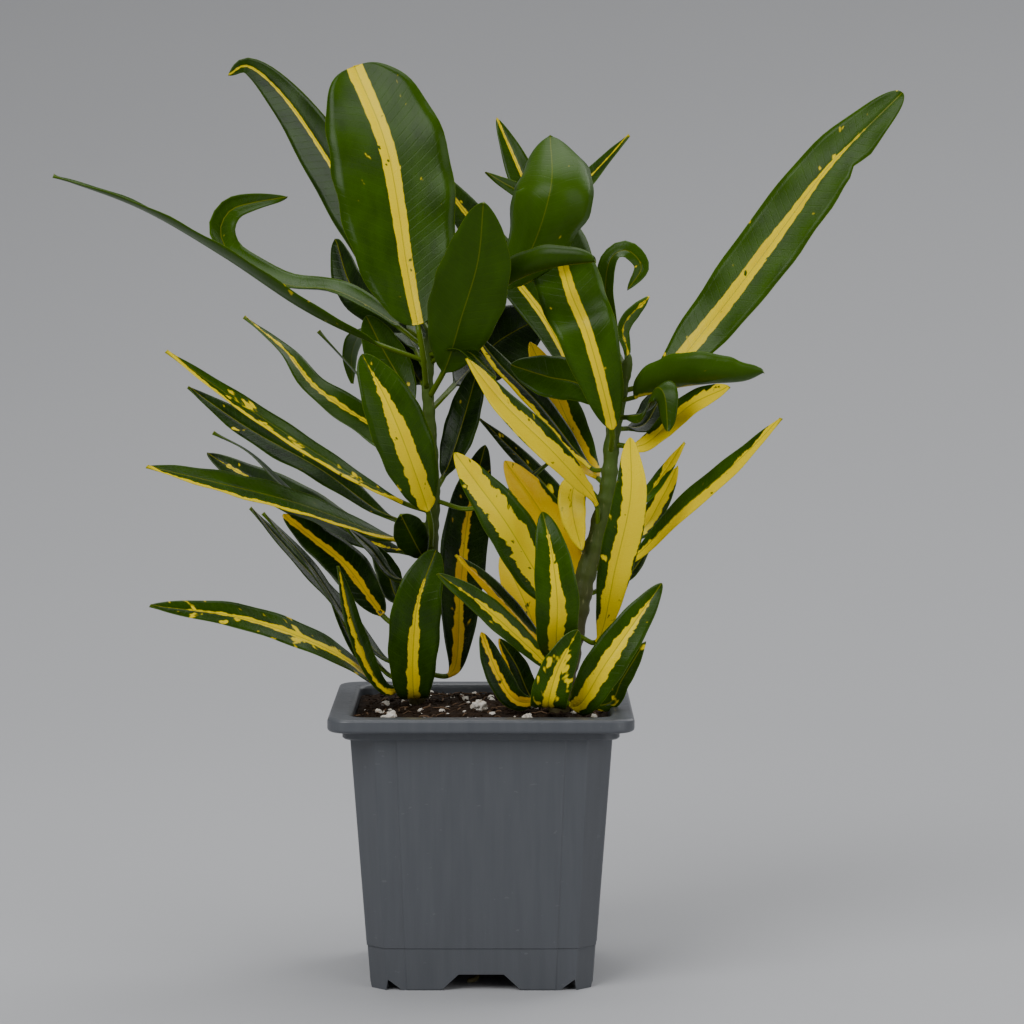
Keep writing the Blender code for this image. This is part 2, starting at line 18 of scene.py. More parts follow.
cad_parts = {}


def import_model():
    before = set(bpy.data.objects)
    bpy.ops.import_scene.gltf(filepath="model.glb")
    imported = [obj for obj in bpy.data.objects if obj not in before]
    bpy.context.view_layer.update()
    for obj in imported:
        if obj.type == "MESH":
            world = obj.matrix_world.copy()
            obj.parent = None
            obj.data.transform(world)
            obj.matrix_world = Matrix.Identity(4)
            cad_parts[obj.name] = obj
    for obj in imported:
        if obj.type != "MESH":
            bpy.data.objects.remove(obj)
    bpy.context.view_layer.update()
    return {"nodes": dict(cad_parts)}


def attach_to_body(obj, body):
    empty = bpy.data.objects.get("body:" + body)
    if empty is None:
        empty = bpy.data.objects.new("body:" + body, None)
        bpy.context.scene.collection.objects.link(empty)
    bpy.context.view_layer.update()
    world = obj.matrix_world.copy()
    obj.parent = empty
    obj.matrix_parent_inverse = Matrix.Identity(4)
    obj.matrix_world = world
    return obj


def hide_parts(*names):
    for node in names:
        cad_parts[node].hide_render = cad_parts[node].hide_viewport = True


MM = 0.001
SEED = 7

# The pot's driving dimensions, as in the CAD part.
RIM_HALF = 0.0525
RIM_TOP = 0.096
LIP_HEIGHT = 0.005
LIP_ROUNDING = 0.0014
COLLAR_HALF = 0.0475
COLLAR_HEIGHT = 0.003
BODY_TOP_HALF = 0.0455
BASE_HALF = 0.0390
FOOT_BAND_HEIGHT = 0.015
FOOT_BAND_INSET = 0.0003
WALL = 0.0013
SKIRT_WALL = 0.0026
FLOOR_LOW = 0.0060
FLOOR_TOP = 0.0076
RIM_CORNER = 0.0080
PANEL_HALF_TOP = 0.0290
PANEL_HALF_BASE = 0.0255
PANEL_STEP = 0.0004
CHAMFER_TOP = 0.0088
CHAMFER_BASE = 0.0058
FILLET = 0.0012
CORNER_POINTS = 6
DRAIN_RADIUS = 0.0048
DRAIN_REACH = 0.0270
ARCH_HEIGHT = 0.0060
ARCH_FOOT_HALF = 0.0140
ARCH_TOP_HALF = 0.0078
NICK_HEIGHT = 0.0038
NICK_FROM = 0.0272
NICK_PEAK = 0.0322

SOIL_EDGE = 0.0915
SOIL_CROWN = 0.0945
SCATTER_REACH = 0.90
CRUMB_COUNT = 900
GRAIN_COUNT = 70
FIBRE_COUNT = 110
FIBRE_ROWS = 9
FIBRE_SIDES = 6
SOIL_RINGS = 90
SOIL_SPOKES = 240

# The two stems: (x, y, z) of the axis from the foot in the soil to the tip, in millimetres.
STEM_ROUTES = {
    "left": ((-23, 6, 84), (-23, 6, 96), (-19, 4, 125), (-18, 2, 150), (-17, 0, 170),
             (-18, 0, 190), (-19, 1, 208), (-18, 2, 228)),
    "right": ((27, -14, 84), (27, -14, 96), (33, -10, 124), (36, -7, 139), (39, -5, 150),
              (44, -3, 170), (46, -1, 190), (49, 0, 206), (52, 1, 218)),
}
STEM_RADII = {"left": (0.0028, 0.0017), "right": (0.0040, 0.0020)}
STEM_ROWS = 170
STEM_SIDES = 20
SWELLING_LENGTH = 0.0016
SWELLING_SHARE = 0.16
BARK_LUMP = 0.0018
BARK_DEPTH = 0.07

ROOT_ROUTE = ((-1, -26, 7.5), (-1, -27, 5), (-2, -30, 2.5), (-5, -32, 2))
ROOT_RADII = (0.0012, 0.0008)
ROOT_ROWS = 40
ROOT_SIDES = 12

# Grains of perlite in millimetres: x, y and radius. NODE_GRAINS stand for the CAD's three.
NODE_GRAINS = ((-1, -16, 2.4), (-32, -34, 2.0), (16, -34, 1.8))
LOOSE_GRAINS = ((-34, 8, 1.6), (-31, -24, 1.7), (-36, -12, 1.3), (-6, 10, 1.2), (-3, 36, 1.2),
                (3, 8, 1.1), (39, -25, 1.2), (37, 10, 1.3), (8, -37, 1.1), (-14, -38, 1.0))

PETIOLE_WIDTH = 0.0020
PETIOLE_THICKNESS = 0.0016
BLADE_THICKNESS = 0.0005
MIDRIB_DEPTH = 0.00028
MIDRIB_RIDGE = 0.0005
MIDRIB_WIDTH = 0.0006
RIPPLE_LENGTH = 0.021
RIPPLE_SHARE = 0.035
RIPPLE_LAG = 2.1
MARGIN_WAVES = 31
MARGIN_DEPTH = 0.02
BLADE_STARTS = 0.002
CAD_STATIONS = 12
PETIOLE_ROWS = 10
BLADE_ROWS = 46
HALF_COLUMNS = 7

# A leaf. number: part of its name. height: where its petiole leaves the stem. route: the midrib
# to the tip. width: the widest place. face: where the upper side looks. twist: degrees from foot
# to tip. cup: degrees from the midrib's face to each margin's. petiole: its share of the length.
# blunt: lower is blunter. peak: the widest place along the blade.
Leaf = namedtuple("Leaf", "number height route width face twist cup petiole blunt peak")
Leaf.__new__.__defaults__ = (0, 10, 0.12, 0.6, 0.5)

# A leaf's colours. band: half the yellow band's width in millimetres at the blade's foot, middle
# and tip, where below 0 is no band. aside: how far the band lies towards the margin that is on
# the right of a leaf seen from above with its tip up, as a share of the half width. spots: how
# many yellow spots, 0 to 1. tone: the green, from 0 for dark to 1 for bright. orange: 0 to 1.
# ragged: how uneven the band's edges are, where 0 is straight.
Look = namedtuple("Look", "band aside spots tone orange ragged")
Look.__new__.__defaults__ = ((-3, -3, -3), 0, 0, 0.4, 0, 1)

LEFT_LEAVES = (
    Leaf(3, 226, ((-28, 28, 240), (-50, 56, 276), (-71, 72, 307), (-86, 78, 321), (-94, 76, 318)),
         20, (-0.5, -0.6, 0.6), cup=15, petiole=0.1, peak=0.4),
    Leaf(12, 222, ((-4, 38, 229), (17, 62, 257), (38, 76, 279), (54, 80, 296)),
         13, (-0.5, -0.7, 0.5), cup=15, petiole=0.2, blunt=0.7),
    Leaf(5, 222, ((-35, 26, 231), (-47, 36, 241), (-53, 42, 258)),
         13, (-0.7, -0.6, 0.3), cup=20, petiole=0.2, blunt=0.5, peak=0.55),
    Leaf(8, 221, ((-5, 2, 222), (6, -3, 238), (17, -12, 254), (24, -18, 276), (24, 3, 294)),
         34, (0, 0.95, -0.3), cup=60, petiole=0.35, blunt=0.4, peak=0.6),
    Leaf(2, 220, ((-36, 10, 232), (-52, 16, 240), (-70, 24, 242), (-88, 30, 251), (-94, 34, 260),
                 (-91, 38, 268), (-83, 44, 271), (-71, 52, 273)),
         14, (0.1, -0.35, 0.95), cup=35, petiole=0.1, peak=0.4),
    Leaf(44, 218, ((-6, -18, 220), (0, -26, 216), (5, -32, 211)), 8, (0.3, -0.3, 0.9), petiole=0.2),
    Leaf(1, 216, ((-42, -2, 224), (-63, -10, 235), (-89, -22, 253), (-116, -32, 269), (-145, -38, 280)),
         17, (0.45, 0.2, 0.9), twist=-30, cup=28, peak=0.45),
    Leaf(9, 215, ((-3, -9, 230), (9, -21, 243), (24, -31, 249), (39, -37, 251)),
         20, (0, 0.2, 1), cup=130, petiole=0.3, blunt=0.4, peak=0.55),
    Leaf(73, 213, ((-18, 14, 221), (-16, 26, 236), (-15, 34, 250)), 14, (0, -1, 0.2), petiole=0.2),
    Leaf(52, 212, ((-30, 36, 227), (-43, 50, 225), (-48, 56, 217), (-48, 58, 205)),
         14, (0.2, -0.5, 0.8), petiole=0.2),
    Leaf(4, 206, ((-21, -8, 222), (-26, -2, 248), (-33, 6, 289), (-45, 18, 319)),
         42, (0, -1, 0.1), petiole=0.2, blunt=0.36, peak=0.56),
    Leaf(72, 206, ((-23, 20, 209), (-27, 28, 216), (-32, 36, 224)), 11, (-0.3, -0.9, 0.3), petiole=0.25),
    Leaf(7, 203, ((-12, -10, 215), (-7, -20, 231), (-1, -32, 251), (1, -42, 271)),
         26, (0.1, 1, 0.2), cup=-12, petiole=0.15),
    Leaf(45, 198, ((-5, 34, 211), (6, 50, 221), (21, 62, 229)),
         24, (0.1, -1, 0.1), petiole=0.3, blunt=0.5, peak=0.6),
    Leaf(53, 193, ((-26, 14, 191), (-42, 26, 207), (-59, 34, 225)),
         7, (0.5, 0.2, 0.8), petiole=0.15, blunt=0.7),
    Leaf(51, 190, ((-23, 6, 196), (-28, 11, 207), (-35, 14, 219), (-41, 14, 231)),
         14, (-0.2, -1, 0.2), petiole=0.25, blunt=0.55, peak=0.55),
    Leaf(54, 183, ((-25, 10, 182), (-40, 22, 192), (-60, 30, 205), (-71, 34, 218), (-86, 38, 230)),
         14, (0.3, -0.7, 0.6), twist=70, petiole=0.1, blunt=0.7, peak=0.35),
    Leaf(71, 170, ((-12, 10, 178), (-7, 14, 193), (-1, 16, 214)), 13, (-0.4, -0.9, 0.2), petiole=0.15),
    Leaf(35, 166, ((-4, -4, 164), (10, 8, 169), (24, 16, 179)), 5, (0.3, 0.1, 0.9), petiole=0.3, blunt=0.7),
    Leaf(55, 163, ((-30, -12, 168), (-52, -26, 182), (-82, -40, 203), (-106, -50, 221)),
         12, (0.35, -0.5, 0.8), blunt=0.75),
    Leaf(56, 158, ((-34, 4, 161), (-57, 8, 177), (-82, 10, 191), (-104, 10, 206)),
         15, (0.3, -0.6, 0.75), blunt=0.75),
    Leaf(58, 153, ((-44, 24, 152), (-70, 40, 167), (-85, 50, 180), (-99, 58, 187)),
         9, (0.3, 0.1, 0.9), petiole=0.15, blunt=0.7),
    Leaf(50, 150, ((-18, -12, 161), (-24, -22, 181), (-32, -26, 202), (-41, -24, 219)),
         20, (0.15, -1, 0.15), petiole=0.25, blunt=0.55),
    Leaf(60, 149, ((-34, -10, 155), (-62, -34, 168), (-88, -58, 177), (-110, -79, 184)),
         15, (0.15, -0.6, 0.8), cup=12, petiole=0.1, blunt=0.7),
    Leaf(59, 146, ((-41, 36, 149), (-71, 62, 163), (-90, 74, 171), (-103, 79, 178)),
         14, (-0.1, -0.75, 0.65), peak=0.6),
    Leaf(69, 143, ((-23, -10, 152), (-28, -18, 163)), 12, (0, -1, 0.2), petiole=0.2, blunt=0.5, peak=0.6),
    Leaf(63, 137, ((-31, 2, 139), (-39, 2, 149), (-48, 0, 157)), 7, (0.4, -0.4, 0.8), petiole=0.2, blunt=0.7),
    Leaf(70, 131, ((-30, 12, 131), (-34, 18, 140), (-39, 22, 149)), 9, (0.2, -1, 0.2), petiole=0.2),
    Leaf(62, 119, ((-34, 14, 123), (-48, 26, 140), (-59, 30, 149), (-72, 32, 159)),
         16, (0.35, -0.8, 0.5), petiole=0.25, peak=0.45),
    Leaf(61, 112, ((-35, 20, 108), (-52, 36, 126), (-67, 44, 141), (-85, 50, 160)),
         9, (0.5, -0.4, 0.7), blunt=0.7),
    Leaf(57, 106, ((-33, 6, 104), (-47, 12, 121), (-61, 14, 142), (-78, 14, 161)),
         8, (0.6, -0.3, 0.7), blunt=0.7),
    Leaf(36, 104, ((-10, 16, 105), (-8, 28, 132), (-5, 34, 160), (1, 34, 184)),
         17, (0.1, -1, 0.1), petiole=0.1, peak=0.55),
    Leaf(65, 103, ((-34, -8, 101), (-43, -14, 119), (-50, -16, 145)), 8, (0.5, -0.7, 0.3), blunt=0.7),
    Leaf(64, 101, ((-36, 10, 99), (-47, 18, 115), (-57, 24, 137)), 5, (0.5, -0.6, 0.3), blunt=0.7),
    Leaf(66, 100, ((-34, 2, 100), (-53, -26, 117), (-81, -46, 130), (-111, -62, 136)),
         14, (0.15, -0.65, 0.75), petiole=0.1),
    Leaf(67, 96, ((-24, -6, 99), (-24, -12, 114), (-22, -15, 133), (-16, -10, 150)),
         18, (0, -1, 0), petiole=0.05, blunt=0.45),
)

RIGHT_LEAVES = (
    Leaf(16, 214, ((51, 6, 219), (50, 8, 228), (59, 12, 238)), 6, (0.6, -0.7, 0.2), cup=20, petiole=0.1),
    Leaf(11, 213, ((39, 38, 236), (23, 44, 267), (1, 40, 282)),
         10, (0.2, -0.8, 0.4), petiole=0.15, blunt=0.65),
    Leaf(15, 211, ((46, 16, 226), (44, 28, 240), (46, 32, 251), (52, 33, 254), (57, 32, 248), (52, 28, 240)),
         9, (-0.6, -0.3, 0.7), cup=20, petiole=0.1),
    Leaf(10, 204, ((38, 26, 223), (24, 46, 258), (5, 66, 302)),
         14, (0.1, -1, 0.2), petiole=0.15, blunt=0.65),
    Leaf(17, 205, ((64, 2, 210), (78, 4, 226), (92, 2, 244), (106, 0, 263), (119, -2, 281), (130, -4, 293),
                  (146, -8, 309)),
         23, (-0.4, -0.9, 0.25), cup=12, petiole=0.06, blunt=0.45),
    Leaf(18, 202, ((66, -14, 207), (78, -22, 209), (90, -26, 210), (97, -28, 213)),
         30, (0.1, 0.1, 1), cup=95, petiole=0.1, blunt=0.5, peak=0.5),
    Leaf(13, 199, ((34, 16, 210), (22, 32, 230), (8, 42, 248), (-6, 52, 267), (-23, 60, 288)),
         15, (0.2, -0.9, 0.4), blunt=0.65),
    Leaf(46, 197, ((35, 4, 207), (23, 4, 210), (10, 6, 214)), 17, (0, -0.9, 0.5), cup=12, petiole=0.1),
    Leaf(21, 196, ((56, -18, 198), (60, -28, 207), (63, -33, 205), (64, -35, 193)),
         10, (0.6, -0.7, 0.3), cup=30, petiole=0.1, blunt=0.5, peak=0.6),
    Leaf(24, 192, ((57, 4, 193), (62, 10, 200), (68, 16, 208)), 11, (-0.3, -0.9, 0.3), petiole=0.1),
    Leaf(19, 186, ((57, -8, 187), (72, -20, 201), (85, -30, 208)),
         11, (-0.4, -0.75, 0.6), cup=12, petiole=0.1, blunt=0.55),
    Leaf(14, 184, ((45, -12, 195), (37, -18, 225), (31, -8, 240), (26, 7, 257), (18, 22, 273)),
         23, (-0.1, -1, 0.3), petiole=0.1, blunt=0.45, peak=0.55),
    Leaf(43, 177, ((37, 6, 179), (21, 14, 199), (6, 20, 214), (-4, 24, 226)),
         10, (0.4, -0.7, 0.6), petiole=0.1, blunt=0.7),
    Leaf(47, 172, ((37, 14, 179), (28, 26, 199), (17, 34, 221)), 13, (0.2, -1, 0.2), petiole=0.1),
    Leaf(48, 167, ((36, -2, 172), (32, -6, 171), (32, -10, 162), (35, -12, 150)),
         10, (-0.2, -1, 0.2), petiole=0.1, peak=0.4),
    Leaf(28, 161, ((56, 4, 166), (64, 10, 175), (72, 16, 186)),
         6, (-0.4, -0.7, 0.6), petiole=0.1, blunt=0.7),
    Leaf(42, 159, ((39, -12, 168), (25, -24, 185), (8, -32, 202), (-5, -36, 218)),
         12, (0.3, -0.85, 0.5), petiole=0.1, blunt=0.7),
    Leaf(29, 151, ((56, 8, 155), (64, 18, 166), (70, 24, 177)),
         8, (-0.3, -0.9, 0.3), petiole=0.1, blunt=0.65),
    Leaf(49, 146, ((34, 6, 147), (30, 12, 155), (26, 16, 162)),
         7, (0.2, -0.9, 0.3), petiole=0.1, blunt=0.7),
    Leaf(26, 143, ((52, -8, 146), (69, -22, 165), (87, -34, 182), (102, -44, 198)),
         10, (-0.45, -0.7, 0.55), petiole=0.08, blunt=0.7),
    Leaf(41, 141, ((34, 14, 148), (28, 26, 163), (15, 34, 178), (-1, 40, 193)),
         9, (0.4, -0.8, 0.4), petiole=0.1, blunt=0.7),
    Leaf(40, 136, ((31, 0, 146), (19, 6, 165), (8, 8, 180)), 15, (0.3, -0.9, 0.3), petiole=0.1),
    Leaf(27, 134, ((51, 4, 139), (60, 10, 150)), 5, (-0.4, -0.7, 0.6), petiole=0.1, blunt=0.7),
    Leaf(34, 129, ((22, -24, 139), (9, -34, 161), (-1, -38, 175), (-9, -40, 186)),
         17, (0.25, -1, 0.2), petiole=0.1, peak=0.45),
    Leaf(25, 120, ((41, -19, 120), (46, -31, 145), (51, -38, 170), (51, -36, 191)),
         13, (-0.15, -1, 0.1), petiole=0.1, blunt=0.55, peak=0.55),
    Leaf(39, 114, ((22, -4, 115), (15, -1, 131), (7, 2, 148)), 13, (0.2, -1, 0.2), petiole=0.15),
    Leaf(33, 113, ((26, -34, 118), (26, -46, 136), (24, -46, 153), (21, -42, 166)),
         15, (0, -1, 0.05), petiole=0.1, blunt=0.55),
    Leaf(37, 110, ((17, -12, 122), (3, -16, 138), (-9, -18, 149)),
         8, (0.4, -0.7, 0.6), petiole=0.1, blunt=0.7),
    Leaf(38, 105, ((19, -24, 115), (0, -30, 133), (-15, -34, 144)), 10, (0.3, -0.8, 0.5), petiole=0.1),
    Leaf(6, 100, ((18, -6, 97), (12, -4, 109), (6, -2, 118)), 8, (0.2, -1, 0.1), petiole=0.1),
    Leaf(32, 100, ((23, -40, 99), (26, -46, 112), (33, -46, 126)),
         13, (0, -1, 0.1), petiole=0.15, blunt=0.5),
    Leaf(68, 99, ((13, -27, 99), (6, -28, 108), (0, -26, 123)), 9, (0.2, -1, 0.1), petiole=0.2),
    Leaf(30, 98, ((34, -34, 99), (43, -39, 114), (62, -36, 141)),
         14, (-0.15, -1, 0.2), petiole=0.15, peak=0.45),
    Leaf(31, 97, ((44, -18, 97), (49, -20, 106), (57, -20, 119)),
         7, (-0.3, -0.9, 0.2), petiole=0.15, blunt=0.7),
)

LEAVES = {"left": LEFT_LEAVES, "right": RIGHT_LEAVES}

LOOKS = {
    1: Look(spots=0.25, tone=0.6), 2: Look(spots=0.1, tone=0.7),
    3: Look((0.9, 0.8, 0.3), tone=0.3, ragged=0.3),
    4: Look((1.9, 2.8, 3.0), spots=0.2, tone=0.6, ragged=0.35),
    6: Look((0.2, 0.4, 0.2), aside=-0.8, tone=0.1, orange=0.6), 7: Look(tone=0.4),
    8: Look(tone=0.75), 9: Look(tone=0.15),
    10: Look((0.9, 0.8, 0.3), tone=0.45, ragged=0.3), 11: Look(tone=0.5),
    12: Look((0.9, 0.7, 0.2), tone=0.4, ragged=0.3),
    13: Look((1.4, 1.3, 0.4), tone=0.45, ragged=0.3),
    14: Look((1.8, 2.1, 1.2), spots=0.15, tone=0.7, ragged=0.35),
    15: Look(tone=0.9), 16: Look((0.6, 0.6, 0.3), tone=1.0),
    17: Look((3.1, 2.3, -0.8), spots=0.3, tone=0.75, ragged=0.4),
    18: Look((1.5, 0.4, -1), spots=0.2, tone=0.7),
    19: Look((4.5, 4.5, 4.5), aside=0.45, spots=0.3), 25: Look((3.5, 4.4, 5), aside=0.3, spots=0.7),
    24: Look(tone=0.1), 26: Look((2.6, 2.6, 2.6), aside=0.6, spots=0.2, tone=0.5),
    28: Look((-2, 0.5, 4), tone=0.8), 29: Look((2, 2.4, 2), spots=0.2, tone=0.3),
    30: Look((2.4, 2.8, -0.8), spots=0.2, tone=0.5), 31: Look(spots=0.6, tone=0.4),
    32: Look((1.9, 2.0, -0.4), spots=0.75, tone=0.5), 33: Look((2.6, 2.7, -0.8), spots=0.3, tone=0.6),
    34: Look((3.6, 4.6, 3.6), spots=0.3, tone=0.5, ragged=2),
    36: Look((1.9, 1.9, -0.6), spots=0.4, tone=0.1, orange=0.6),
    37: Look((1.6, 1.8, 1.4), aside=-0.6, tone=0.1, orange=0.7),
    38: Look((1.4, 1.6, -0.2), spots=0.2, tone=0.5), 39: Look((5, 5.4, 5), spots=0.3, orange=0.3),
    40: Look((5, 6, 5), spots=0.3, orange=0.6), 41: Look(spots=0.5, tone=0.1),
    42: Look((5.4, 4.6, 3.6), aside=-0.25, spots=0.2), 43: Look((1, 1, 1), aside=-0.85, tone=0.1),
    44: Look(tone=0.1), 45: Look(tone=0.05), 46: Look(tone=0.5),
    47: Look((5, 4.6, 5), aside=-0.35, spots=0.3, orange=0.5), 48: Look((5, 5, 5), tone=0.8),
    49: Look((1.4, 1.6, 1.4), spots=0.8, tone=0.6), 50: Look((3.4, 3.4, -0.6), spots=0.25, tone=0.55),
    51: Look(tone=0.6), 52: Look(tone=0.9), 54: Look((0.5, 1.2, 0.3), tone=0.6),
    55: Look((1.2, 1.5, 1.2), aside=-0.9, spots=0.5, tone=0.5), 56: Look(spots=0.35, tone=0.15),
    59: Look((0.5, 0.6, 0.2), tone=0.1), 60: Look((1.4, 1.6, 1), aside=-0.95, spots=0.2, tone=0.45),
    62: Look((1.4, 1.8, 1), tone=0.1, orange=0.6), 65: Look((0.9, 1.3, 0.3),
    aside=-0.3, tone=0.3, orange=0.3),
    66: Look((1.5, 1.7, -0.3), spots=0.6, tone=0.4, ragged=0.7),
    67: Look((2.2, 1.8, -1.2), spots=0.1, tone=0.45),
    68: Look((1.2, 1.4, 0.8), tone=0.1, orange=0.6),
}
DARK = Look(tone=0.12)

NOTCHED_LEAF = 17
NOTCH_PLACE = 0.79
NOTCH_LENGTH = 0.018
NOTCH_DEPTH = 0.3

CAMERA_PLACE = (0.0106, -1.3125, 0.269)
CAMERA_PITCH = 4.638
CAMERA_LENS = 131.6

SKY_COLOUR = (0.88, 0.88, 0.88)
SKY_STRENGTH = 0.25
STAGE_FLAT = 0.6
STAGE_BEND = 2.5
STAGE_FAR = 12.0

# Area lights: name, place, the point it looks at, width, power in watts.
LIGHTS = (
    ("key", (-0.9, -1.3, 1.5), (0, 0, 0.16), 1.3, 34),
    ("fill", (1.3, -1.2, 0.7), (0, 0, 0.16), 1.4, 13),
    ("top", (0.1, 0.5, 1.7), (0, 0, 0.2), 1.4, 18),
    ("back", (1.5, 1.4, 1.3), (0, 0, 0.16), 1.2, 12),
)


# ---------------------------------------------------------------- materials


class Shader:
    """A Principled material, put together one node at a time."""

    def __init__(self, name, roughness=0.5, specular=0.5):
        self.material = bpy.data.materials.new(name)
        self.material.use_nodes = True
        self.tree = self.material.node_tree
        self.principled = self.tree.nodes["Principled BSDF"]
        self.principled.inputs["Roughness"].default_value = roughness
        self.principled.inputs["Specular IOR Level"].default_value = specular

    def put(self, socket, value):
        if isinstance(value, bpy.types.NodeSocket):
            self.tree.links.new(value, socket)
        else:
            socket.default_value = value

    def add(self, kind, inputs, output=0, **settings):
        made = self.tree.nodes.new(kind)
        for key, value in settings.items():
            setattr(made, key, value)
        for key, value in inputs.items():
            self.put(made.inputs[key], value)
        return made.outputs[output]

    def math(self, operation, a, b=0.0):
        return self.add("ShaderNodeMath", {0: a, 1: b}, operation=operation)

    def times(self, a, b):
        return self.math("MULTIPLY", a, b)

    def plus(self, a, b):
        return self.math("ADD", a, b)

    def step(self, value, low, high):
        """0 below low, 1 above high, and smooth between."""
        inputs = {"Value": value, "From Min": low, "From Max": high}
        return self.add("ShaderNodeMapRange", inputs, interpolation_type="SMOOTHSTEP")

    def mix(self, factor, a, b):
        colours = [(*c, 1.0) if isinstance(c, tuple) else c for c in (a, b)]
        inputs = {0: factor, 6: colours[0], 7: colours[1]}
        return self.add("ShaderNodeMix", inputs, output=2, data_type="RGBA")

    def vector(self, x, y, z):
        return self.add("ShaderNodeCombineXYZ", {0: x, 1: y, 2: z})

    def noise(self, vector, scale=1.0, detail=2.0):
        return self.add("ShaderNodeTexNoise", {"Vector": vector, "Scale": scale, "Detail": detail})

    def attribute(self, name, output=2):
        return self.add("ShaderNodeAttribute", {}, output=output, attribute_name=name)

    def place(self, stretch=(1, 1, 1)):
        """The point in metres, with each axis multiplied by stretch."""
        point = self.add("ShaderNodeTexCoord", {}, output=3)
        inputs = {0: point, 1: stretch}
        return self.add("ShaderNodeVectorMath", inputs, operation="MULTIPLY")

    def finish(self, colour, height=None, strength=0.3, depth=0.0003, roughness=None):
        self.put(self.principled.inputs["Base Color"], colour)
        if roughness is not None:
            self.put(self.principled.inputs["Roughness"], roughness)
        if height is not None:
            inputs = {"Height": height, "Strength": strength, "Distance": depth}
            self.put(self.principled.inputs["Normal"], self.add("ShaderNodeBump", inputs))
        return self.material


def leaf_material():
    """Dark glossy green with a ragged yellow band, spots, side veins and a pale margin."""
    shader = Shader("croton_leaf", specular=0.14)
    split = shader.add("ShaderNodeSeparateXYZ", {0: shader.attribute("place", output=1)}).node
    across, along, seed = split.outputs
    off_centre = shader.math("ABSOLUTE", across)
    # Side veins leave the midrib at a slant, and the band's teeth follow them.
    slant = shader.math("SUBTRACT", along, shader.times(off_centre, 0.6))

    def pattern(first, fineness, second, second_fineness, offset, detail=2.0):
        """Noise over two of the leaf's own directions, different on every leaf."""
        where = shader.vector(shader.times(first, fineness), shader.times(second, second_fineness),
                              shader.plus(seed, offset))
        return shader.noise(where, detail=detail)

    teeth = pattern(slant, 0.34, across, 0.10, 0.0, detail=3)
    patches = pattern(across, 0.20, along, 0.09, 3.0)
    blots = pattern(across, 0.22, slant, 0.17, 9.0)
    flecks = pattern(across, 0.34, slant, 0.26, 17.0)
    ragged = shader.times(shader.math("SUBTRACT", teeth, 0.5), 2.4)
    wandering = shader.times(shader.math("SUBTRACT", patches, 0.5), 2.0)
    uneven = shader.times(shader.attribute("ragged"), shader.plus(ragged, wandering))
    inside = shader.step(shader.plus(shader.attribute("band"), uneven), -0.20, 0.20)
    spots = shader.step(shader.plus(blots, shader.times(shader.attribute("spots"), 0.22)), 0.75, 0.82)
    kept = shader.math("SUBTRACT", 1.0, shader.step(flecks, 0.68, 0.76))
    yellow_here = shader.math("MAXIMUM", shader.times(inside, kept), spots)

    mottle = shader.times(shader.math("SUBTRACT", patches, 0.5), 0.8)
    green = shader.mix(shader.plus(shader.attribute("tone"), mottle),
                       (0.004, 0.013, 0.000), (0.036, 0.090, 0.000))
    veins = shader.step(shader.math("SINE", shader.times(slant, 2.0)), 0.86, 1.0)
    green = shader.mix(shader.times(veins, 0.05), green, (0.10, 0.20, 0.00))
    yellow = shader.mix(shader.plus(shader.attribute("orange"), mottle),
                        (0.76, 0.58, 0.000), (0.54, 0.27, 0.000))
    colour = shader.mix(yellow_here, green, yellow)
    rib = shader.times(shader.step(off_centre, 0.26, 0.12), 0.5)
    colour = shader.mix(rib, colour, (0.20, 0.20, 0.000))
    rim = shader.times(shader.step(shader.attribute("margin"), 0.30, 0.10), 0.15)
    colour = shader.mix(rim, colour, (0.26, 0.38, 0.010))
    underside = shader.attribute("underside")
    colour = shader.mix(shader.times(underside, 0.4), colour, (0.040, 0.095, 0.000))
    colour = shader.mix(shader.step(along, 1.0, -2.0), colour, (0.075, 0.125, 0.002))

    fine = shader.noise(shader.vector(across, slant, seed), scale=2.2, detail=3)
    height = shader.plus(shader.times(fine, 0.5), shader.times(veins, -0.35))
    gloss = shader.plus(0.24, shader.times(underside, 0.08))
    gloss = shader.plus(gloss, shader.times(fine, 0.08))
    return shader.finish(colour, height, strength=0.35, depth=0.0002, roughness=gloss)


def stem_material():
    """Green above, brown below, with pale flecks and fine cracks along it."""
    shader = Shader("croton_stem", roughness=0.55, specular=0.2)
    height = shader.add("ShaderNodeSeparateXYZ", {0: shader.place()}, output=2)
    grain = shader.noise(shader.place((1, 1, 0.25)), scale=900, detail=4)
    blotches = shader.noise(shader.place(), scale=160)
    rise = shader.plus(height, shader.times(blotches, 0.03))
    colour = shader.mix(shader.step(rise, 0.11, 0.20), (0.055, 0.045, 0.016), (0.050, 0.090, 0.008))
    colour = shader.mix(shader.step(grain, 0.60, 0.76), colour, (0.15, 0.16, 0.06))
    return shader.finish(colour, grain, strength=0.7, depth=0.0004)


def plastic_material():
    """Grey moulded plastic with faint upright streaks and pale scuffs."""
    shader = Shader("pot_plastic_look")
    streaks = shader.noise(shader.place((1, 1, 0.035)), scale=420, detail=3)
    cloud = shader.noise(shader.place(), scale=38, detail=3)
    grain = shader.noise(shader.place(), scale=2600, detail=2)
    scuffs = shader.step(shader.noise(shader.place((1, 1, 2.5)), scale=260, detail=5), 0.685, 0.72)
    colour = shader.mix(streaks, (0.052, 0.057, 0.066), (0.080, 0.086, 0.097))
    colour = shader.mix(shader.times(cloud, 0.35), colour, (0.085, 0.091, 0.102))
    colour = shader.mix(shader.times(scuffs, 0.2), colour, (0.20, 0.21, 0.22))
    rough = shader.plus(0.30, shader.times(streaks, 0.16))
    rough = shader.plus(rough, shader.times(scuffs, 0.2))
    height = shader.plus(grain, shader.times(streaks, 0.8))
    return shader.finish(colour, height, strength=0.16, depth=0.0002, roughness=rough)


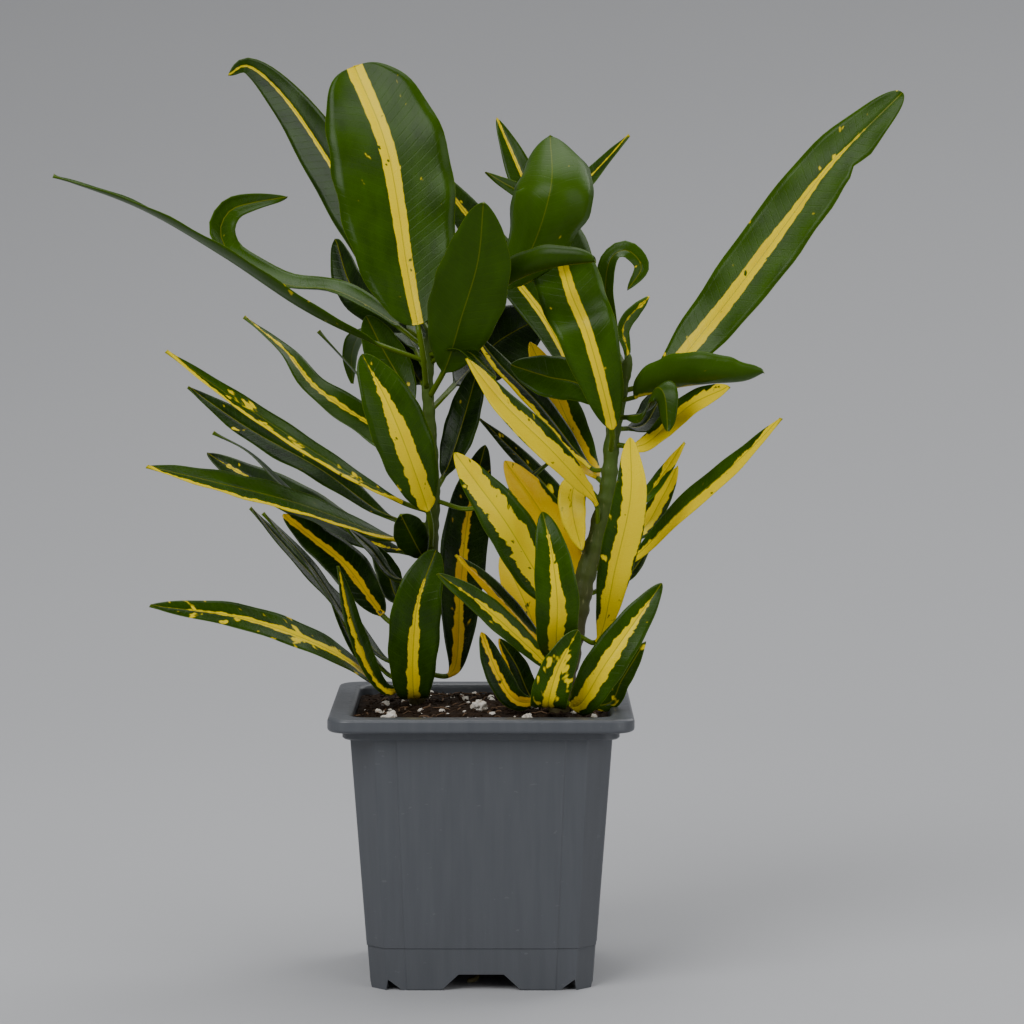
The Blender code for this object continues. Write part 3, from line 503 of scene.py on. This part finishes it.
def soil_material():
    """Dark brown soil with reddish and pale specks."""
    shader = Shader("potting_soil", roughness=0.92, specular=0.12)
    clods = shader.noise(shader.place(), scale=380, detail=5)
    specks = shader.noise(shader.place(), scale=1500, detail=2)
    colour = shader.mix(clods, (0.003, 0.002, 0.001), (0.034, 0.019, 0.010))
    colour = shader.mix(shader.step(specks, 0.68, 0.74), colour, (0.16, 0.10, 0.06))
    return shader.finish(colour, clods, strength=0.9, depth=0.0008)


def perlite_material():
    """Rough white grains, stained brown in places."""
    shader = Shader("perlite_look", roughness=0.9)
    stain = shader.noise(shader.place(), scale=420, detail=3)
    pits = shader.noise(shader.place(), scale=2400, detail=3)
    colour = shader.mix(shader.step(stain, 0.48, 0.75), (0.66, 0.62, 0.55), (0.34, 0.24, 0.15))
    colour = shader.mix(shader.step(pits, 0.60, 0.72), colour, (0.45, 0.42, 0.38))
    return shader.finish(colour, pits, strength=0.7, depth=0.0005)


def fibre_material():
    """Pale brown strands of bark and coir."""
    shader = Shader("fibre_look", roughness=0.85)
    shade = shader.noise(shader.place(), scale=240, detail=2)
    colour = shader.mix(shade, (0.02, 0.010, 0.005), (0.20, 0.11, 0.05))
    return shader.finish(colour)


def floor_material():
    shader = Shader("pale_floor", roughness=0.8, specular=0.2)
    cloud = shader.noise(shader.place(), scale=3)
    return shader.finish(shader.mix(cloud, (0.405, 0.41, 0.425), (0.42, 0.425, 0.44)))


# ---------------------------------------------------------------- meshes


def add_mesh(name, points, faces, material, sharp_angle=None):
    mesh = bpy.data.meshes.new(name)
    mesh.from_pydata([tuple(point) for point in points], [], faces)
    mesh.shade_smooth()
    if sharp_angle:
        mesh.set_sharp_from_angle(angle=math.radians(sharp_angle))
    mesh.materials.append(material)
    made = bpy.data.objects.new(name, mesh)
    bpy.context.scene.collection.objects.link(made)
    return made


def stitched(rows, ring):
    """Faces of a closed tube of so many rows, each a ring of so many points, with both ends shut."""
    faces = [tuple(reversed(range(ring)))]
    for row in range(rows - 1):
        low, high = row * ring, (row + 1) * ring
        for k in range(ring):
            after = (k + 1) % ring
            faces.append((low + k, low + after, high + after, high + k))
    faces.append(tuple(range((rows - 1) * ring, rows * ring)))
    return faces


def attach(piece, slot, *nodes):
    """A finished piece: it rides on the plant and stands for the nodes. The slot is not used."""
    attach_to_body(piece, "root")
    if nodes:
        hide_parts(*nodes)


def smooth_route(points, fractions):
    """Positions at the given fractions of the length of a Catmull-Rom curve through the points."""
    knots = np.asarray(points, float)
    knots = np.vstack([2 * knots[0] - knots[1], knots, 2 * knots[-1] - knots[-2]])
    t = np.linspace(0, 1, 24, endpoint=False)[:, None]
    dense = []
    for a, b, c, d in zip(knots, knots[1:], knots[2:], knots[3:]):
        dense.append(0.5 * (2 * b + (c - a) * t + (2 * a - 5 * b + 4 * c - d) * t**2
                            + (3 * b - a - 3 * c + d) * t**3))
    dense = np.vstack(dense + [knots[-2][None]])
    travelled = np.concatenate([[0], np.cumsum(np.linalg.norm(np.diff(dense, axis=0), axis=1))])
    wanted = np.asarray(fractions) * travelled[-1]
    return np.stack([np.interp(wanted, travelled, dense[:, axis]) for axis in range(3)], axis=1)


def unit_rows(vectors):
    return vectors / np.linalg.norm(vectors, axis=1)[:, None]


# ---------------------------------------------------------------- leaves


def stem_axis(side, height):
    """The point of a stem's axis at a height, and the stem's radius there."""
    fractions = np.linspace(0, 1, 200)
    axis = smooth_route(np.array(STEM_ROUTES[side]) * MM, fractions)
    nearest = int(np.abs(axis[:, 2] - height).argmin())
    low, high = STEM_RADII[side]
    return axis[nearest], low + (high - low) * fractions[nearest]


def leaf_route(leaf, side):
    """The midrib's points, from the petiole's foot just inside the stem's bark to the tip."""
    route = np.array(leaf.route, float) * MM
    axis, radius = stem_axis(side, leaf.height * MM)
    outward = route[0] - axis
    outward[2] = 0
    outward /= np.linalg.norm(outward)
    return np.vstack([axis + outward * radius * 0.8, route])


def carried_frames(positions, face, middle):
    """Side and up directions along a route, carried without roll from its middle point."""
    tangents = unit_rows(np.gradient(positions, axis=0))
    up = np.zeros_like(positions)
    up[middle] = face
    order = [(middle, middle)]
    order += [(i, i - 1) for i in range(middle + 1, len(positions))]
    order += [(i, i + 1) for i in range(middle - 1, -1, -1)]
    for here, before in order:
        carried = up[before] - tangents[here] * (up[before] @ tangents[here])
        up[here] = carried / np.linalg.norm(carried)
    return np.cross(tangents, up), up


def leaf_frames(leaf, route, stations):
    """Side and up directions at the stations, turned as the CAD's leaf is at its own stations."""
    stalk = np.linspace(0, leaf.petiole, 3, endpoint=False)
    blade = leaf.petiole + (1 - leaf.petiole) * np.linspace(0, 1, CAD_STATIONS - 3) ** 0.9
    coarse = np.concatenate([stalk, blade])
    side, up = carried_frames(smooth_route(route, coarse), leaf.face, CAD_STATIONS // 2)
    turn = np.radians(leaf.twist) * (np.linspace(0, 1, CAD_STATIONS) - 0.5)[:, None]
    up = up * np.cos(turn) + side * np.sin(turn)
    up = np.stack([np.interp(stations, coarse, up[:, axis]) for axis in range(3)], axis=1)
    tangents = unit_rows(np.gradient(smooth_route(route, stations), axis=0))
    up = unit_rows(up - tangents * np.sum(up * tangents, axis=1)[:, None])
    return np.cross(tangents, up), up


def blade_half_width(leaf, u):
    """Half the blade's width at u, from 0 at its base to 1 at its tip."""
    skew = math.log(0.5) / math.log(leaf.peak)
    rounded = np.sin(np.pi * np.clip(u, 0, 1) ** skew) ** leaf.blunt
    return leaf.width * MM / 2 * rounded


def margin_factor(leaf, u, sideways):
    """The blade's uneven margin, as a factor on its half width."""
    factor = 1 + MARGIN_DEPTH * math.sin(MARGIN_WAVES * u + leaf.number + 2 * sideways)
    if leaf.number == NOTCHED_LEAF and sideways > 0:
        factor -= NOTCH_DEPTH * math.exp(-(((u - NOTCH_PLACE) / NOTCH_LENGTH) ** 2))
    return factor


def leaf_columns():
    """Places across a leaf from -1 to 1, closer together at the midrib."""
    half = np.linspace(0, 1, HALF_COLUMNS + 1) ** 1.5
    return np.concatenate([-half[:0:-1], half])


def add_leaf(name, leaf, side, look, material):
    """One leaf: rings of points round its petiole and blade, with what its colours need."""
    rows = PETIOLE_ROWS + BLADE_ROWS
    blade = (1 - np.cos(np.pi * np.linspace(0, 1, BLADE_ROWS))) / 2
    stalk = np.linspace(0, 1, PETIOLE_ROWS, endpoint=False) * leaf.petiole
    stations = np.concatenate([stalk, leaf.petiole + (1 - leaf.petiole) * blade])
    route = leaf_route(leaf, side)
    positions = smooth_route(route, stations)
    across, up = leaf_frames(leaf, route, stations)
    length = np.linalg.norm(np.diff(positions, axis=0), axis=1).sum()
    columns = leaf_columns()
    ring = [(v, 0.0) for v in columns] + [(v, 1.0) for v in columns[::-1]]
    points, place, band, margin = [], [], [], []
    for row in range(rows):
        u = (stations[row] - leaf.petiole) / (1 - leaf.petiole)
        outline = float(blade_half_width(leaf, u)) if u > 0 else 0.0
        least = PETIOLE_WIDTH / 2 * (1 - 0.85 * max(u, 0) ** 3)
        bladeness = min(max((outline - least) / BLADE_STARTS, 0), 1)
        bend = math.radians(leaf.cup) * bladeness + math.radians(10) * (1 - bladeness)
        yellow = np.interp(u, (0, 0.5, 1), look.band)
        fade = math.sin(math.pi * min(max(u, 0), 1)) ** 0.3 if 0 < u < 1 else 0.0
        for v, below in ring:
            half = max(least, outline * margin_factor(leaf, u, math.copysign(1, v)))
            out = half * v
            reach = half * math.sin(bend * v) / bend
            lift = half * (1 - math.cos(bend * v)) / bend
            normal = up[row] * math.cos(bend * v) - across[row] * math.sin(bend * v)
            stalk_half = PETIOLE_THICKNESS / 2 * math.sqrt(max(1 - v * v, 0))
            blade_half = BLADE_THICKNESS / 2 * (1 - 0.7 * v * v)
            thick = stalk_half * (1 - bladeness) + blade_half * bladeness
            groove = bladeness * fade * math.exp(-((out / MIDRIB_WIDTH) ** 2))
            thick += MIDRIB_RIDGE * (1 - u) * groove if below else -MIDRIB_DEPTH * groove
            wave = math.sin(2 * math.pi * stations[row] * length / RIPPLE_LENGTH
                            + leaf.number + (RIPPLE_LAG if v > 0 else 0))
            ripple = half * RIPPLE_SHARE * bladeness * abs(v) ** 2.5 * wave
            shift = -thick if below else thick
            points.append(positions[row] + across[row] * reach + up[row] * lift
                          + normal * (shift + ripple))
            place.append((out / MM, (stations[row] - leaf.petiole) * length / MM, leaf.number * 1.7))
            centre = look.aside * half / MM
            band.append(yellow - abs(out / MM - centre) if u > 0 else -3.0)
            margin.append(half * (1 - abs(v)) / MM if u > 0 else 3.0)
    piece = add_mesh(name, points, stitched(rows, len(ring)), material)
    constants = {"spots": look.spots, "tone": look.tone, "orange": look.orange, "ragged": look.ragged}
    values = {key: [value] * len(points) for key, value in constants.items()}
    values.update(band=band, margin=margin, underside=[below for _, below in ring] * rows)
    for key, numbers in values.items():
        piece.data.attributes.new(key, "FLOAT", "POINT").data.foreach_set("value", numbers)
    where = piece.data.attributes.new("place", "FLOAT_VECTOR", "POINT")
    where.data.foreach_set("vector", np.array(place).ravel())
    return piece


def add_leaves(nodes, material):
    for side, leaves in LEAVES.items():
        for leaf in leaves:
            look = LOOKS.get(leaf.number, DARK)
            piece = add_leaf(f"blade_{side}_{leaf.number:02d}", leaf, side, look, material)
            node = f"leaf_{side}_{leaf.number:02d}"
            attach(piece, "leaf", *([node] if node in nodes else []))


# ---------------------------------------------------------------- stems and root


def add_stalk(name, route, radii, swellings, material, rows, sides):
    """A round stalk with a bulge at each swelling's height, a rough skin and a rounded tip."""
    fractions = np.linspace(0, 1, rows)
    positions = smooth_route(np.array(route) * MM, fractions)
    side, up = carried_frames(positions, (1, 0.1, 0.1), rows // 2)
    points = []
    for row, share in enumerate(fractions):
        radius = radii[0] + (radii[1] - radii[0]) * share
        bulge = sum(math.exp(-(((positions[row][2] - z) / SWELLING_LENGTH) ** 2)) for z in swellings)
        radius *= (1 + SWELLING_SHARE * min(bulge, 1.0)) * math.sqrt(max(1 - share**40, 0.02))
        for k in range(sides):
            angle = 2 * math.pi * k / sides
            out = side[row] * math.cos(angle) + up[row] * math.sin(angle)
            rough = noise.noise(Vector(positions[row] + out * radius) / BARK_LUMP)
            points.append(positions[row] + out * radius * (1 + BARK_DEPTH * rough))
    return add_mesh(name, points, stitched(rows, sides), material)


def add_stems(material):
    for side, leaves in LEAVES.items():
        swellings = [leaf.height * MM for leaf in leaves]
        piece = add_stalk(f"bark_{side}", STEM_ROUTES[side], STEM_RADII[side], swellings, material,
                          STEM_ROWS, STEM_SIDES)
        attach(piece, "stem", f"stem_{side}")
    root = add_stalk("root_strand", ROOT_ROUTE, ROOT_RADII, [], material, ROOT_ROWS, ROOT_SIDES)
    attach(root, "stem", "root")


# ---------------------------------------------------------------- pot


def wall_half(z):
    """Half the pot's width outside, at a height on its tapered wall."""
    share = z / (RIM_TOP - LIP_HEIGHT - COLLAR_HEIGHT)
    inset = FOOT_BAND_INSET if z < FOOT_BAND_HEIGHT else 0.0
    return BASE_HALF + (BODY_TOP_HALF - BASE_HALF) * share - inset


def arc(centre, radius, start, stop, count):
    """Points on an arc, from the start angle to the stop angle in degrees."""
    angles = np.radians(np.linspace(start, stop, count))
    return [(centre[0] + radius * math.cos(a), centre[1] + radius * math.sin(a)) for a in angles]


def rounded_section(half, radius, z):
    """A section with round corners."""
    corner = arc((half - radius, -half + radius), radius, -90, 0, 2 * CORNER_POINTS)
    inner = half * 0.6
    side = [(-inner - 0.0002, -half), (-inner, -half), (inner, -half), (inner + 0.0002, -half)]
    return quartered(side + corner, z)


def panelled_section(z, inset=0.0):
    """A wall section with flat corner panels and a raised middle panel, drawn in by inset."""
    share = min(z / RIM_TOP, 1.0)
    cut = CHAMFER_BASE + (CHAMFER_TOP - CHAMFER_BASE) * share
    panel = PANEL_HALF_BASE + (PANEL_HALF_TOP - PANEL_HALF_BASE) * share
    half = wall_half(z) - inset
    edge = half if inset else half - PANEL_STEP
    ledge = half - edge + 0.0002
    back = FILLET * math.tan(math.radians(22.5))
    corner = arc((edge - cut - back, -edge + FILLET), FILLET, -90, -45, CORNER_POINTS)
    corner += arc((edge - FILLET, -edge + cut + back), FILLET, -45, 0, CORNER_POINTS)
    side = [(-panel - ledge, -edge), (-panel, -half), (panel, -half), (panel + ledge, -edge)]
    return quartered(side + corner, z)


def quartered(points, z):
    """The points of one side and its corner, turned round to all four sides."""
    whole = []
    for quarter in range(4):
        c, s = round(math.cos(math.pi / 2 * quarter)), round(math.sin(math.pi / 2 * quarter))
        whole += [(x * c - y * s, x * s + y * c, z) for x, y in points]
    return whole


def pot_sections():
    """The pot's skin, from the floor's underside, round the wall and the lip, to the floor's top."""
    lip_low = RIM_TOP - LIP_HEIGHT
    body_top = lip_low - COLLAR_HEIGHT
    inner = wall_half(lip_low) - WALL
    sections = [panelled_section(FLOOR_LOW, SKIRT_WALL), panelled_section(0.0, SKIRT_WALL),
                panelled_section(0.0, 0.0004), panelled_section(0.0006),
                panelled_section(FOOT_BAND_HEIGHT - 0.0003), panelled_section(FOOT_BAND_HEIGHT)]
    sections += [panelled_section(z) for z in np.linspace(0.03, body_top, 4)]
    sections += [rounded_section(COLLAR_HALF - 0.0006, RIM_CORNER * 0.8, body_top + 0.0001),
                 rounded_section(COLLAR_HALF, RIM_CORNER * 0.8, body_top + 0.0007),
                 rounded_section(COLLAR_HALF, RIM_CORNER * 0.8, lip_low)]
    outer = RIM_HALF - LIP_ROUNDING
    profile = arc((outer, lip_low + LIP_ROUNDING), LIP_ROUNDING, -90, 0, 6)
    profile += arc((outer, RIM_TOP - LIP_ROUNDING), LIP_ROUNDING, 8, 90, 7)
    profile += arc((inner + 0.0018, RIM_TOP - 0.0018), 0.0018, 90, 180, 6)
    for half, z in profile:
        sections.append(rounded_section(half, RIM_CORNER * min(half / RIM_HALF, 1), z))
    sections += [rounded_section(inner, RIM_CORNER * 0.75, lip_low),
                 panelled_section(body_top, WALL), panelled_section(FLOOR_TOP, WALL)]
    return sections


def add_cutter(outline, depth, turned, material):
    """A hidden prism: an outline in X and Z, drawn along Y through the range depth."""
    count = len(outline)
    c, s = math.cos(turned), math.sin(turned)
    rows = [[(x * c - y * s, x * s + y * c, z) for x, z in outline] for y in depth]
    cutter = add_mesh("cutter", rows[0] + rows[1], stitched(2, count), material)
    shape = bmesh.new()
    shape.from_mesh(cutter.data)
    bmesh.ops.recalc_face_normals(shape, faces=shape.faces)
    shape.to_mesh(cutter.data)
    shape.free()
    return cutter


def skirt_cutters(material):
    """The arch and the two nicks in each side of the skirt."""
    below = -0.001
    arch = [(-ARCH_FOOT_HALF - 0.001, below), (ARCH_FOOT_HALF + 0.001, below),
            (ARCH_TOP_HALF, ARCH_HEIGHT - 0.0003), (-ARCH_TOP_HALF, ARCH_HEIGHT - 0.0003)]
    nick = [(NICK_FROM - 0.0014, below), (NICK_PEAK + 0.0008, below), (NICK_PEAK, NICK_HEIGHT)]
    mirrored = [(-x, z) for x, z in reversed(nick)]
    depth = (-BASE_HALF - 0.004, -BASE_HALF + SKIRT_WALL + 0.002)
    made = []
    for quarter in range(4):
        for outline in (arch, nick, mirrored):
            made.append(add_cutter(outline, depth, math.pi / 2 * quarter, material))
    return made


def drain_cutters(material):
    """A round hole in the middle of the floor, and one towards each side."""
    made = []
    for quarter in range(5):
        angle = math.pi / 2 * quarter
        reach = DRAIN_REACH if quarter < 4 else 0.0
        centre = (reach * math.sin(angle), -reach * math.cos(angle))
        rows = []
        for z in (FLOOR_LOW - 0.002, FLOOR_TOP + 0.002):
            rows += [(x, y, z) for x, y in arc(centre, DRAIN_RADIUS, 0, 352.5, 48)]
        made.append(add_mesh("cutter", rows, stitched(2, 48), material))
    return made


def add_pot(material):
    """The pot with its skirt cut and its floor drilled, as one smooth-shaded mesh."""
    sections = pot_sections()
    ring = len(sections[0])
    points = [point for section in sections for point in section]
    rough = add_mesh("pot_blank", points, stitched(len(sections), ring), material)
    cutters = skirt_cutters(material) + drain_cutters(material)
    for cutter in cutters:
        cut = rough.modifiers.new("cut", "BOOLEAN")
        cut.operation = "DIFFERENCE"
        cut.object = cutter
    graph = bpy.context.evaluated_depsgraph_get()
    mesh = bpy.data.meshes.new_from_object(rough.evaluated_get(graph))
    mesh.shade_smooth()
    mesh.set_sharp_from_angle(angle=math.radians(32))
    for helper in [rough, *cutters]:
        bpy.data.objects.remove(helper, do_unlink=True)
    piece = bpy.data.objects.new("pot_shell", mesh)
    bpy.context.scene.collection.objects.link(piece)
    weighted = piece.modifiers.new("flat_faces", "WEIGHTED_NORMAL")
    weighted.keep_sharp = True
    attach(piece, "pot_plastic", "pot")


# ---------------------------------------------------------------- soil and what lies on it


def soil_height(x, y):
    """The soil's surface: low at the wall, mounded in the middle, and slightly uneven."""
    inner = wall_half(SOIL_EDGE) - WALL
    edge = max(abs(x), abs(y)) / inner
    mound = SOIL_EDGE + (SOIL_CROWN - SOIL_EDGE) * math.cos(math.pi / 2 * min(edge, 1.0))
    return mound + 0.0006 * noise.noise(Vector((x, y, 0)) / 0.012)


def soil_reach(angle):
    """How far the soil goes from the pot's axis to the wall, in a direction."""
    inner = wall_half(SOIL_EDGE) - WALL - 0.0003
    c, s = abs(math.cos(angle)), abs(math.sin(angle))
    return min(inner / max(c, s), (2 * inner - CHAMFER_TOP) / (c + s))


def crumbly_height(x, y):
    """The soil's surface with its crumbs: coarse lumps with finer ones on them."""
    place = Vector((x, y, 0))
    coarse = 0.9 * noise.noise(place / 0.0055) + 0.5 * abs(noise.noise(place / 0.0024))
    return soil_height(x, y) + 0.0004 + MM * (coarse + 0.25 * noise.noise(place / 0.0011))


def add_soil_surface(material):
    """The crumbly top of the soil, as rings from the wall to the middle."""
    points = []
    for step in range(SOIL_RINGS):
        share = 1 - step / (SOIL_RINGS - 0.5)
        for spoke in range(SOIL_SPOKES):
            angle = 2 * math.pi * spoke / SOIL_SPOKES
            reach = soil_reach(angle) * share
            x, y = reach * math.cos(angle), reach * math.sin(angle)
            points.append((x, y, crumbly_height(x, y)))
    faces = stitched(SOIL_RINGS, SOIL_SPOKES)[1:]
    attach(add_mesh("soil_surface", points, faces, material), "soil")


def lump(centre, radius, detail, roughness, number):
    """An uneven grain: points and faces of a ball pushed in and out and flattened."""
    shape = bmesh.new()
    bmesh.ops.create_icosphere(shape, subdivisions=detail, radius=1.0)
    points = []
    for vertex in shape.verts:
        direction = vertex.co.normalized()
        push = noise.noise(direction * 1.3 + Vector((number * 3.1, 0, 0)))
        push += 0.45 * noise.noise(direction * 3.2 + Vector((0, number * 2.3, 0)))
        moved = direction * radius * (1 + roughness * push)
        points.append((centre[0] + moved.x, centre[1] + moved.y, centre[2] + 0.8 * moved.z))
    faces = [tuple(vertex.index for vertex in face.verts) for face in shape.faces]
    shape.free()
    return points, faces


def add_heap(name, parts, material, slot, sharp_angle=None):
    """Many small shapes as one piece."""
    points, faces = [], []
    for part_points, part_faces in parts:
        start = len(points)
        points += part_points
        faces += [tuple(index + start for index in face) for face in part_faces]
    attach(add_mesh(name, points, faces, material, sharp_angle), slot)


def scattered(count, choose):
    """Places on the soil and their heights, spread evenly up to near the wall."""
    found = []
    for _ in range(count):
        angle = choose.uniform(0, 2 * math.pi)
        share = math.sqrt(choose.uniform(0.0, SCATTER_REACH))
        x = soil_reach(angle) * share * math.cos(angle)
        y = soil_reach(angle) * share * math.sin(angle)
        found.append((x, y, crumbly_height(x, y)))
    return found


def fibre(place, choose):
    """A thin curved strand lying on the soil."""
    heading = choose.uniform(0, 2 * math.pi)
    bend = choose.uniform(-1.6, 1.6)
    length = choose.uniform(0.002, 0.008)
    radius = choose.uniform(0.00012, 0.00035)
    x, y, _ = place
    points = []
    rows, sides = FIBRE_ROWS, FIBRE_SIDES
    for row in range(rows):
        z = crumbly_height(x, y) + radius + 0.0006 * math.sin(math.pi * row / rows)
        tip = radius * (1 - (2 * row / (rows - 1) - 1) ** 6 * 0.8)
        side = Vector((-math.sin(heading), math.cos(heading), 0))
        for k in range(sides):
            angle = 2 * math.pi * k / sides
            out = side * math.cos(angle) * tip + Vector((0, 0, math.sin(angle) * tip))
            points.append((x + out.x, y + out.y, z + out.z))
        x += length / rows * math.cos(heading)
        y += length / rows * math.sin(heading)
        heading += bend / rows
    return points, stitched(rows, sides)


def add_soil_details(soil, perlite, strands):
    """Crumbs, fine and coarse perlite and fibres on the soil."""
    choose = random.Random(SEED)
    crumbs = [lump(place, choose.uniform(0.3, 1.2) * MM, 1, 0.6, number)
              for number, place in enumerate(scattered(CRUMB_COUNT, choose))]
    add_heap("soil_crumbs", crumbs, soil, "soil", sharp_angle=40)
    grains = [lump(place, choose.choice((0.35, 0.5, 0.8, 1.1)) * MM, 2, 0.5, number)
              for number, place in enumerate(scattered(GRAIN_COUNT, choose))]
    for number, (x, y, radius) in enumerate(LOOSE_GRAINS):
        x, y = x * MM, y * MM
        grains.append(lump((x, y, crumbly_height(x, y) + radius * MM * 0.4), radius * MM, 3, 0.5, number))
    add_heap("perlite_fine", grains, perlite, "perlite")
    fibres = [fibre(place, choose) for place in scattered(FIBRE_COUNT, choose)]
    add_heap("soil_fibres", fibres, strands, "soil")
    for number, (x, y, radius) in enumerate(NODE_GRAINS, start=1):
        x, y, radius = x * MM, y * MM, radius * MM
        centre = (x, y, soil_height(x, y) + radius * 0.8)
        points, faces = lump(centre, radius, 4, 0.5, number * 5)
        attach(add_mesh(f"perlite_lump_{number}", points, faces, perlite), "perlite", f"perlite_{number}")


# ---------------------------------------------------------------- floor, light and camera


def add_stage(material):
    """A pale floor that curves up into a wall behind the plant and another on its left."""
    points = []
    for sweep in np.radians(np.linspace(0, 80, 40)):
        out = STAGE_BEND * math.sin(sweep) + MM
        z = STAGE_BEND * (1 - math.cos(sweep))
        corner = arc((-STAGE_FLAT, STAGE_FLAT), out, 90, 180, 24)
        row = [(STAGE_FAR, STAGE_FLAT + out), *corner, (-STAGE_FLAT - out, -STAGE_FAR)]
        points += [(x, y, z) for x, y in row]
    wide = len(row)
    faces = [(k, k + 1, k + 1 + wide, k + wide) for k in range(len(points) - wide) if (k + 1) % wide]
    count = len(points)
    points += [(STAGE_FAR, -STAGE_FAR, 0.0)]
    faces.append((*reversed(range(wide)), count))
    add_mesh("floor", points, faces, material)


def add_light(name, place, target, width, power):
    lamp = bpy.data.lights.new(name, "AREA")
    lamp.shape = "SQUARE"
    lamp.size = width
    lamp.energy = power
    made = bpy.data.objects.new(name, lamp)
    made.location = place
    made.rotation_euler = (Vector(target) - Vector(place)).to_track_quat("-Z", "Y").to_euler()
    bpy.context.scene.collection.objects.link(made)


def add_camera():
    camera = bpy.data.cameras.new("camera")
    camera.lens = CAMERA_LENS
    camera.sensor_width = 36.0
    camera.clip_end = 30.0
    made = bpy.data.objects.new("camera", camera)
    made.location = CAMERA_PLACE
    made.rotation_euler = (math.radians(90 - CAMERA_PITCH), 0, 0)
    bpy.context.scene.collection.objects.link(made)
    bpy.context.scene.camera = made


def set_world(colour, strength):
    world = bpy.data.worlds.new("soft_sky")
    world.use_nodes = True
    background = world.node_tree.nodes["Background"]
    background.inputs["Color"].default_value = (*colour, 1.0)
    background.inputs["Strength"].default_value = strength
    bpy.context.scene.world = world


def set_node_materials(nodes, materials):
    """The finish of the CAD nodes that are shown as they are."""
    for name, material in materials.items():
        node = nodes[name]
        node.data.materials.clear()
        node.data.materials.append(material)


def main():
    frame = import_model()
    soil, perlite = soil_material(), perlite_material()
    set_node_materials(frame["nodes"], {"soil": soil})
    add_pot(plastic_material())
    add_leaves(frame["nodes"], leaf_material())
    add_stems(stem_material())
    add_soil_surface(soil)
    add_soil_details(soil, perlite, fibre_material())
    add_stage(floor_material())
    for light in LIGHTS:
        add_light(*light)
    set_world(SKY_COLOUR, SKY_STRENGTH)
    add_camera()


main()
